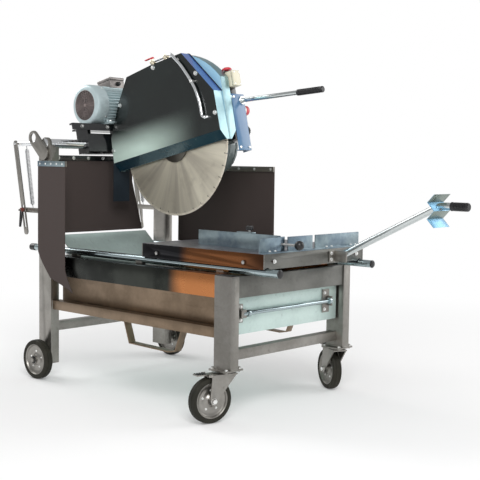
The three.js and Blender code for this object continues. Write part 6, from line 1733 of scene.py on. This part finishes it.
@dataclass
class Motor(Head):
    """The finned foot motor with its terminal box and the cover and grille over its fan."""

    left: float = -88.0
    right: float = 160.0
    radius: float = 92.0
    fin: float = 13.0
    cover_left: float = -150.0
    cover: float = 108.0
    foot: float = 1288.0

    def build(self) -> None:
        """Builds the motor's rotor, case, cover, grille, feet and terminal box."""
        self.bench.dressed("motor_rotor", "shaft", "rotor", PLAIN_STEEL, 0.5)
        self.case()
        self.fan_cover()
        self.grille()
        self.terminal_box()

    def case(self) -> None:
        """Builds the finned case with its end shields and feet."""
        bench, y, foot, at = self.bench, self.motor_y, self.foot, (self.motor_y, self.motor_z)
        fins, tip = 40, self.radius + self.fin
        rib = ((self.radius, -0.5), (self.radius, -0.2), (tip, -0.11), (tip, 0.11), (self.radius, 0.2))
        outline = []
        for i in range(fins):
            middle = 2 * math.pi * (i + 0.5) / fins
            outline += [spot(at, radius, middle + turn * 2 * math.pi / fins) for radius, turn in rib]
        parts = [bench.plate(outline, Axis.X, self.left + 2.0, self.right - 22.0, 0.7)]
        profile = [(-26.0, 60.0), (-26.0, 104.0), (-14.0, 105.0), (-10.0, 100.0), (-6.0, 76.0), (-2.0, 44.0)]
        profile += [(-2.0, 30.0), (0.0, 28.0), (0.0, 17.0), (-26.0, 17.0), (-26.0, 60.0)]
        parts.append(bench.turned(shifted(self.right, 1.0, profile), Axis.X, at, 72))
        feet = (self.left + 42.0, self.right - 42.0)
        for x in feet:
            low, high = (x - 20.0, y - 79.0, foot + 0.3), (x + 20.0, y + 79.0, foot + 13.0)
            parts.append(bench.bar(low, high, 3.0, 3))
            for leg in (y - 44.0, y + 44.0):
                low, high = (x - 15.0, leg - 12.0, foot + 8.0), (x + 15.0, leg + 12.0, foot + 42.0)
                parts.append(bench.bar(low, high, 3.5, 3))
        bench.finish(parts, "motor_case", "head", MOTOR_CAST, ["motor"], 30.0)
        lip = [((x, 542.0, 1271.0), FRONT) for x in (-235.5, -67.5)]
        bench.bolts("motor_plate_bolts", "head", lip, 0.9)
        heads = [((x, y + side * 66.0, foot + 13.0), UP) for x in feet for side in (-1.0, 1.0)]
        turns = [math.pi / 4 + math.pi * i / 2 for i in range(4)]
        heads += [((self.right - 9.0, *spot(at, 88.0, turn)), RIGHT) for turn in turns]
        bench.bolts("motor_bolts", "head", heads, 0.8)

    def fan_cover(self) -> None:
        """Builds the pressed cover over the fan."""
        left, radius, at = self.cover_left, self.cover, (self.motor_y, self.motor_z)
        end = self.left + 14.0
        profile = [(end, radius - 2.0), (end, radius - 0.4), (end - 2.0, radius)]
        lips = [(26.0, radius), (16.0, radius - 1.0), (7.0, radius - 5.0), (1.5, radius - 13.0)]
        lips += [(0.0, radius - 22.0), (0.0, 78.0), (1.0, 76.6), (2.5, 77.0), (2.5, radius - 22.0)]
        lips += [(9.0, radius - 8.0), (26.0, radius - 2.5)]
        profile = [*profile, *shifted(left, 1.0, lips), (end, radius - 2.0)]
        shell = self.bench.turned(profile, Axis.X, at, 96)
        self.bench.finish(shell, "motor_fan_cover", "head", MOTOR_CAST, (), 30.0)

    def grille(self) -> None:
        """Builds the wire grille over the fan, the dark screen behind it, and the cover's screws."""
        bench, left, at = self.bench, self.cover_left, (self.motor_y, self.motor_z)
        wires = []
        turns = [2 * math.pi * i / 48 for i in range(49)]
        for k in range(9):
            loop = [(left + 0.9, *spot(at, 9.0 + 8.6 * k, turn)) for turn in turns]
            wires.append(bench.tube(loop, 1.5, (), 1))
        for i in range(24):
            ends = (9.0 if i % 3 == 0 else 34.0, 78.5)
            spoke = [(left + 2.0, *spot(at, reach, math.pi * i / 12)) for reach in ends]
            wires.append(bench.tube(spoke, 1.3, (), 1))
        hub = [(0.2, 0.0), (0.2, 8.0), (2.6, 9.5), (2.6, 0.0)]
        wires.append(bench.turned(shifted(left, 1.0, hub), Axis.X, at, 32))
        bench.finish(wires, "motor_fan_grille", "head", FAN_MESH, (), 60.0)
        screen = shifted(left, 1.0, [(5.0, 0.0), (4.4, 78.0), (6.4, 78.0), (7.0, 0.0)])
        bench.finish(bench.turned(screen, Axis.X, at, 48), "motor_fan_screen", "head", FAN_DARK, (), 30.0)
        screws = []
        for i in range(4):
            turn = math.pi / 4 + math.pi * i / 2
            way = (0.0, math.cos(turn), math.sin(turn))
            screws.append(((self.left + 4.0, *spot(at, self.cover, turn)), way))
        bench.bolts("fan_cover_screws", "head", screws, 0.45)

    def terminal_box(self) -> None:
        """Builds the terminal box with its lid, screws and cable gland."""
        bench, x, y = self.bench, 50.0, self.motor_y
        foot = self.motor_z + self.radius - 2.0
        lid = foot + 59.0
        box = [
            bench.bar((x - 48.0, y - 53.0, foot), (x + 48.0, y + 53.0, foot + 44.0), 3.0, 3),
            bench.bar((x - 50.0, y - 55.0, foot + 44.5), (x + 50.0, y + 55.0, lid), 4.0, 3),
        ]
        bench.finish(box, "terminal_box_case", "head", BOX_CAST)
        screws = [((x + dx, y + dy, lid - 0.4), UP) for dx in (-41.0, 41.0) for dy in (-46.0, 46.0)]
        bench.bolts("terminal_box_screws", "head", screws, 0.42)
        profile = [(53.0, 0.0), (53.0, 13.0), (60.0, 13.0), (60.5, 11.0), (70.0, 10.0)]
        profile += [(72.0, 6.0), (72.0, 0.0)]
        gland = bench.turned(shifted(y, -1.0, profile), Axis.Y, (x, foot + 22.0), 6)
        bench.finish(bench.soften(gland, 0.8), "terminal_box_gland", "head", BLACK_GRIP)


@dataclass
class Controls:
    """The front panel with its inlet and knob, the switch box with its stop button, and the lever."""

    bench: Bench
    face_y: float = -225.3
    panel_left: float = 78.0
    panel_right: float = 168.0
    box_x: float = 100.0
    box_y: float = -215.0
    stop_y: float = -200.0
    box_foot: float = 1297.0
    box_top: float = 1373.0

    def build(self) -> None:
        """Builds every control."""
        self.panel()
        self.inlet()
        self.side_knob()
        self.switch_box()
        self.stop_button()
        self.dial()
        self.lever()

    def panel(self) -> None:
        """Builds the folded panel and its screws."""
        bench, left, right, front = self.bench, self.panel_left, self.panel_right, self.face_y
        foot, top = 985.0, 1265.0
        sheets = [
            bench.bar((left, front, foot), (right, front + 3.0, top), 1.2),
            bench.bar((right - 3.0, front, foot), (right, front + 55.0, top), 1.2),
            bench.bar((left, front, foot), (right, front + 18.3, foot + 3.0), 1.0),
        ]
        bench.finish(sheets, "front_panel_sheet", "head", PANEL_BLUE, ["front_panel"])
        heads = [((x, front, z), FRONT) for x in (92.0, 154.0) for z in (1000.0, 1250.0)]
        bench.bolts("front_panel_screws", "head", heads, 0.6)

    def inlet(self) -> None:
        """Builds the power inlet: its base, its red shroud and its pins."""
        bench, right, at = self.bench, self.panel_right, (self.face_y + 27.5, 1190.0)
        profile = [(-3.0, 0.0), (-3.0, 25.0), (8.0, 25.0), (10.0, 23.0), (15.0, 22.0), (15.0, 0.0)]
        base = bench.turned(shifted(right, 1.0, profile), Axis.X, at, 48)
        bench.finish(base, "power_inlet_base", "head", WHITE_PLUG, (), 30.0)
        profile = [(14.0, 18.0), (14.0, 22.5), (17.0, 24.5), (31.0, 24.5), (34.0, 22.8), (34.0, 19.0)]
        profile += [(18.0, 18.0), (14.0, 18.0)]
        shroud = bench.turned(shifted(right, 1.0, profile), Axis.X, at, 48)
        bench.finish(shroud, "power_inlet_shroud", "head", RED, (), 30.0)
        places = [spot(at, 11.0, 2 * math.pi * i / 5 + 0.4) for i in range(5)]
        pins = [bench.rod(Axis.X, right + 14.0, right + 28.0, place, 2.6, 0.8, 16) for place in places]
        bench.finish(pins, "power_inlet_pins", "head", PLAIN_STEEL)

    def side_knob(self) -> None:
        """Builds the ribbed knob on the panel's side."""
        bench, start, at = self.bench, self.panel_right + 0.3, (self.face_y + 27.5, 1087.0)
        profile = [(0.0, 0.0), (0.0, 12.5), (6.7, 12.5), (6.7, 23.0), (8.5, 24.0), (17.0, 23.0)]
        profile += [(20.0, 20.0), (20.0, 0.0)]
        parts = [bench.turned(shifted(start, 1.0, profile), Axis.X, at, 40)]
        for i in range(14):
            place = spot(at, 22.6, math.pi * i / 7)
            parts.append(bench.rod(Axis.X, start + 7.5, start + 18.0, place, 2.3, 0.7, 10))
        bench.finish(parts, "side_knob_cap", "side_knob", BLACK_GRIP, ["side_knob"], 40.0)

    def switch_box(self) -> None:
        """Builds the switch box with its lid, screws and foot."""
        bench, x, y, foot, top = self.bench, self.box_x, self.box_y, self.box_foot, self.box_top
        box = [
            bench.bar((x - 25.0, y - 30.0, foot), (x + 25.0, y + 45.0, top), 3.5, 3),
            bench.bar((x - 25.0, y - 45.0, foot), (x + 25.0, y - 31.0, top), 3.5, 3),
        ]
        bench.finish(box, "switch_box_case", "head", CREAM, ["switch_box"])
        bracket = [
            bench.bar((x - 23.5, y - 33.0, foot + 2.0), (x + 23.5, y - 28.0, top - 2.0), 1.0),
            bench.bar((x - 20.0, -221.7, 1236.3), (x + 20.0, -192.0, foot + 2.0), 2.0),
        ]
        bench.finish(bracket, "switch_box_bracket", "head", ARM_BLACK)
        heights = (foot + 9.0, top - 9.0)
        screws = [((x + dx, y - 44.6, z), FRONT) for dx in (-18.0, 18.0) for z in heights]
        bench.bolts("switch_box_screws", "head", screws, 0.42)

    def stop_button(self) -> None:
        """Builds the red stop button and its black collar."""
        bench, top, at = self.bench, self.box_top, (self.box_x, self.stop_y)
        profile = [(-1.0, 11.2), (-1.0, 21.0), (5.5, 21.0), (8.0, 19.0), (8.0, 11.2), (-1.0, 11.2)]
        collar = bench.turned(shifted(top, 1.0, profile), Axis.Z, at, 48)
        bench.finish(collar, "stop_button_collar", "head", BLACK_GRIP, (), 30.0)
        stem = [(-7.8, 0.0), (-7.8, 9.6), (-0.2, 9.8), (0.0, 14.0), (0.0, 24.0), (2.0, 25.0), (6.5, 24.6)]
        stem += [(10.5, 21.5), (13.4, 15.5), (14.8, 8.0), (15.0, 0.0)]
        mushroom = bench.turned(shifted(top + 13.3, 1.0, stem), Axis.Z, at, 56)
        bench.finish(mushroom, "stop_button_mushroom", "stop_button", RED, ["stop_button"], 40.0)

    def dial(self) -> None:
        """Builds the dial on the switch box's side."""
        bench, at = self.bench, (self.box_y + 4.0, self.box_foot + 38.0)
        profile = [(0.0, 0.0), (0.0, 15.0), (3.0, 15.0), (3.5, 11.0), (12.0, 10.0), (13.0, 8.5), (13.0, 0.0)]
        dial = bench.turned(shifted(self.box_x + 25.0, 1.0, profile), Axis.X, at, 36)
        bench.finish(dial, "switch_dial", "head", BLACK_GRIP, (), 30.0)

    def lever(self) -> None:
        """Builds the operating lever with its flange and ribbed grip."""
        bench, x, face = self.bench, 150.0, self.face_y
        end, tip = Vector((x, -575.0, 1183.0)), Vector((x, -724.0, 1161.0))
        profile = [(0.3, 0.0), (0.3, 22.0), (5.0, 22.0), (6.3, 20.5), (6.3, 15.0), (9.0, 12.5), (9.0, 0.0)]
        parts = [
            bench.between((x, face - 3.0, 1233.6), tuple(end), 11.0, 11.0, 0.6),
            bench.turned(shifted(face, -1.0, profile), Axis.Y, (x, 1234.0), 48),
        ]
        bench.finish(parts, "operating_lever_bar", "head", TUBE_CHROME, ["operating_lever"], 40.0)
        way = tip - end
        profile = [(0.0, 11.5), (0.0, 14.5), (2.0, 15.0)]
        for i in range(15):
            profile += shifted(8.0 + i * 8.4, 1.0, [(0.0, 14.9), (4.6, 14.9), (5.6, 13.4), (7.4, 13.4)])
        profile += shifted(way.length, 1.0, [(-10.0, 15.0), (-3.0, 14.4), (0.0, 11.0), (0.0, 0.0)])
        grip = bench.turned(profile, Axis.Z, (0.0, 0.0), 36)
        grip.data.transform(aimed(tuple(end), tuple(way)))
        bench.finish(grip, "operating_lever_grip", "head", BLACK_GRIP, (), 30.0)


@dataclass
class WaterSupply(Head):
    """The water pipe on the guard, with its ball valve, fitting and red tap."""

    top_x: float = -20.0
    pipe_x: float = -52.0
    valve_y: float = 180.0
    fitting_y: float = 82.0
    pipe: float = 8.0

    def build(self) -> None:
        """Builds the pipe, the valve bodies and the tap."""
        bench, x, y = self.bench, self.top_x, self.valve_y
        roof = self.blade_z + 1.137 * self.blade_radius
        z = roof + 20.0
        shares = ((-0.345, 1.164), (-0.508, 0.963), (-0.637, 0.745), (-0.709, 0.59), (-0.753, 0.397))
        route = self.about(self.pipe_x, (*shares, (-0.759, 0.2), (-0.8, 0.17)))
        end_y, end_z = route[-1][1] - 16.0, route[-1][2]
        line = [(x, y, z), (x, self.fitting_y, z), ((x + self.pipe_x) / 2, self.fitting_y - 28.0, z - 2.0)]
        line += [*route, (self.pipe_x, end_y, end_z), (-40.5, end_y, end_z)]
        pipe = bench.tube(rounded(line, 26.0, 6), self.pipe, (), 6)
        bench.finish(pipe, "water_pipe_tube", "head", SHAFT_CHROME, ["water_pipe"], 60.0)
        nut = [(3.0, 0.0), (3.0, 12.0), (14.0, 12.5), (15.5, 10.5), (15.5, 8.2)]
        body = [(0.3, 0.0), (0.3, 14.0), (5.0, 14.0), (7.0, 10.0), (12.0, 12.5), (24.0, 13.4), (27.5, 10.0)]
        body += [(30.3, 8.0), (30.3, 0.0)]
        bodies = []
        for at in (y, self.fitting_y):
            bodies += [bench.turned(shifted(at, way, nut), Axis.Y, (x, z), 6) for way in (-1.0, 1.0)]
            bodies.append(bench.turned(shifted(roof, 1.0, body), Axis.Z, (x, at), 40))
        bench.finish(bodies, "water_valve_bodies", "head", VALVE_BRASS, (), 35.0)
        _x, clip_y, clip_z = self.about(x, [(-0.66, 0.7)])[0]
        low = (self.pipe_x - 9.5, clip_y - 7.0, clip_z - 7.0)
        clip = bench.bar(low, (-40.0, clip_y + 7.0, clip_z + 7.0), 2.4, 3)
        bench.finish(clip, "water_pipe_clip", "head", BOLT_ZINC)
        foot = roof + 30.6
        tap = [
            bench.rod(Axis.Z, foot, foot + 9.0, (x, y), 5.8, 0.8, 20),
            bench.bar((x - 7.0, y - 7.0, foot + 6.0), (x + 7.0, y + 54.0, foot + 12.0), 2.6, 3),
        ]
        bench.finish(tap, "water_tap_lever", "water_tap", RED, ["water_tap"])



# Studio and camera


@dataclass
class Studio:
    """A pale floor and background, soft lamps, and the camera at the photograph's angle."""

    camera_at: Point = (-3520.6, -3318.5, 1126.1)
    yaw: float = 47.5
    pitch: float = 4.5
    roll: float = 0.8
    focal_pixels: float = 1018.1
    frame_pixels: float = 480.0
    sensor: float = 36.0

    def build(self) -> None:
        """Sets the stage, the lamps, the world and the camera."""
        self.floor()
        self.world()
        self.lamps()
        self.camera()

    def floor(self) -> None:
        """Lays a pale floor that looks white to the camera and in reflections."""
        bpy.ops.mesh.primitive_plane_add(size=60.0, location=(0.0, 0.0, 0.0))
        floor = bpy.context.object
        floor.name = "studio_floor"
        recipe = Recipe("studio_floor_paint")
        grain = recipe.noise(3.0, 3.0)
        across, along, _up = recipe.axes()
        far = across.reach(along).step(1.0, 4.2)
        near = recipe.blend(grain * 0.2, (0.86, 0.86, 0.86), (0.82, 0.82, 0.82))
        recipe.surface(
            Base_Color=recipe.blend(far, near, (0.0, 0.0, 0.0)),
            Roughness=0.9,
            Specular_IOR_Level=0.0,
            Emission_Color=recipe.blend(far, (0.12, 0.12, 0.12), (1.0, 1.0, 1.0)),
            Emission_Strength=1.0,
        )
        floor.data.materials.append(recipe.material)
        floor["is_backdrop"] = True

    def world(self) -> None:
        """Lights the scene from all round and shows white behind the saw."""
        world = bpy.data.worlds.new("studio_light")
        bpy.context.scene.world = world
        world.use_nodes = True
        tree = world.node_tree
        tree.nodes.clear()
        path = tree.nodes.new("ShaderNodeLightPath")
        both = tree.nodes.new("ShaderNodeMath")
        both.operation = "MAXIMUM"
        tree.links.new(path.outputs["Is Camera Ray"], both.inputs[0])
        tree.links.new(path.outputs["Is Transmission Ray"], both.inputs[1])
        strength = tree.nodes.new("ShaderNodeMapRange")
        tree.links.new(both.outputs[0], strength.inputs["Value"])
        strength.inputs["To Min"].default_value = 0.42
        strength.inputs["To Max"].default_value = 1.0
        light = tree.nodes.new("ShaderNodeBackground")
        light.inputs["Color"].default_value = (1.0, 1.0, 1.0, 1.0)
        tree.links.new(strength.outputs[0], light.inputs["Strength"])
        out = tree.nodes.new("ShaderNodeOutputWorld")
        tree.links.new(light.outputs[0], out.inputs["Surface"])

    def lamps(self) -> None:
        """Hangs three soft lamps."""
        aims = Vector((0.0, 0.1, 0.7))
        for name, at, size, power in (
            ("key_lamp", (-3.2, -3.6, 3.8), 2.6, 190.0),
            ("fill_lamp", (3.8, -2.2, 2.6), 3.0, 70.0),
            ("rear_lamp", (-0.5, 4.2, 3.6), 2.8, 90.0),
        ):
            data = bpy.data.lights.new(name, "AREA")
            data.size = size
            data.energy = power
            lamp = bpy.data.objects.new(name, data)
            bpy.context.scene.collection.objects.link(lamp)
            lamp.location = at
            lamp.rotation_mode = "QUATERNION"
            lamp.rotation_quaternion = (aims - Vector(at)).to_track_quat("-Z", "Y")

    def camera(self) -> None:
        """Sets the camera where the photograph was taken from."""
        data = bpy.data.cameras.new("photo_camera")
        data.sensor_width = self.sensor
        data.lens = self.focal_pixels / self.frame_pixels * self.sensor
        data.clip_end = 100.0
        camera = bpy.data.objects.new("photo_camera", data)
        bpy.context.scene.collection.objects.link(camera)
        yaw, pitch = math.radians(self.yaw), math.radians(self.pitch)
        ahead = Vector((math.sin(yaw) * math.cos(pitch), math.cos(yaw) * math.cos(pitch), -math.sin(pitch)))
        turn = ahead.to_track_quat("-Z", "Y").to_matrix().to_4x4()
        tilt = Matrix.Rotation(math.radians(self.roll), 4, "Z")
        camera.matrix_world = Matrix.Translation([MM * value for value in self.camera_at]) @ turn @ tilt
        bpy.context.scene.camera = camera


def drawing_frame() -> Matrix:
    """Returns the matrix from the stand's drawing frame to the model's frame."""
    low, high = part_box("front_crossbar")
    leg_low, _leg_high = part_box("front_leg_left")
    middle_x = (low.x + high.x) / 2
    caster_plate_front = -678.0
    return Matrix.Translation((middle_x, leg_low.y - MM * caster_plate_front, 0.0)) @ Matrix.Scale(MM, 4)


def head_frame(datum: Matrix, stand: Stand, tilt: float = 12.5) -> Matrix:
    """Returns the matrix from the head's level drawing frame to the model's frame.

    Args:
        datum: the stand's own matrix.
        stand: the stand, which has the pivot's place.
        tilt: how far the head is raised at rest, in degrees.

    Returns:
        The matrix.
    """
    pivot = Matrix.Translation((0.0, stand.pivot_y, stand.pivot_z))
    return datum @ pivot @ Matrix.Rotation(-math.radians(tilt), 4, "X") @ pivot.inverted()


def corners(box: tuple[Vector, Vector]) -> list[list[float]]:
    """Returns a box's two corners as plain lists."""
    return [[float(value) for value in corner] for corner in box]


def main() -> None:
    """Builds the studio and every sub-assembly of the saw, in order."""
    logging.basicConfig(level=logging.INFO, format="%(message)s")
    bpy.context.scene.view_settings.view_transform = "Standard"
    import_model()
    cad_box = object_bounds()
    datum = drawing_frame()
    Studio().build()
    bench = Bench(datum)
    stand = Stand(bench)
    stand.build()
    Tray(bench).build()
    Curtains(bench).build()
    DepthGear(bench).build()
    Wheels(datum).build()
    RollingTable(bench).build()
    head = Bench(head_frame(datum, stand))
    SawHead(head).build()
    Motor(head).build()
    Controls(head).build()
    WaterSupply(head).build()
    {"cad": corners(cad_box), "visual": corners(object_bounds())}


if __name__ == "__main__":
    main()
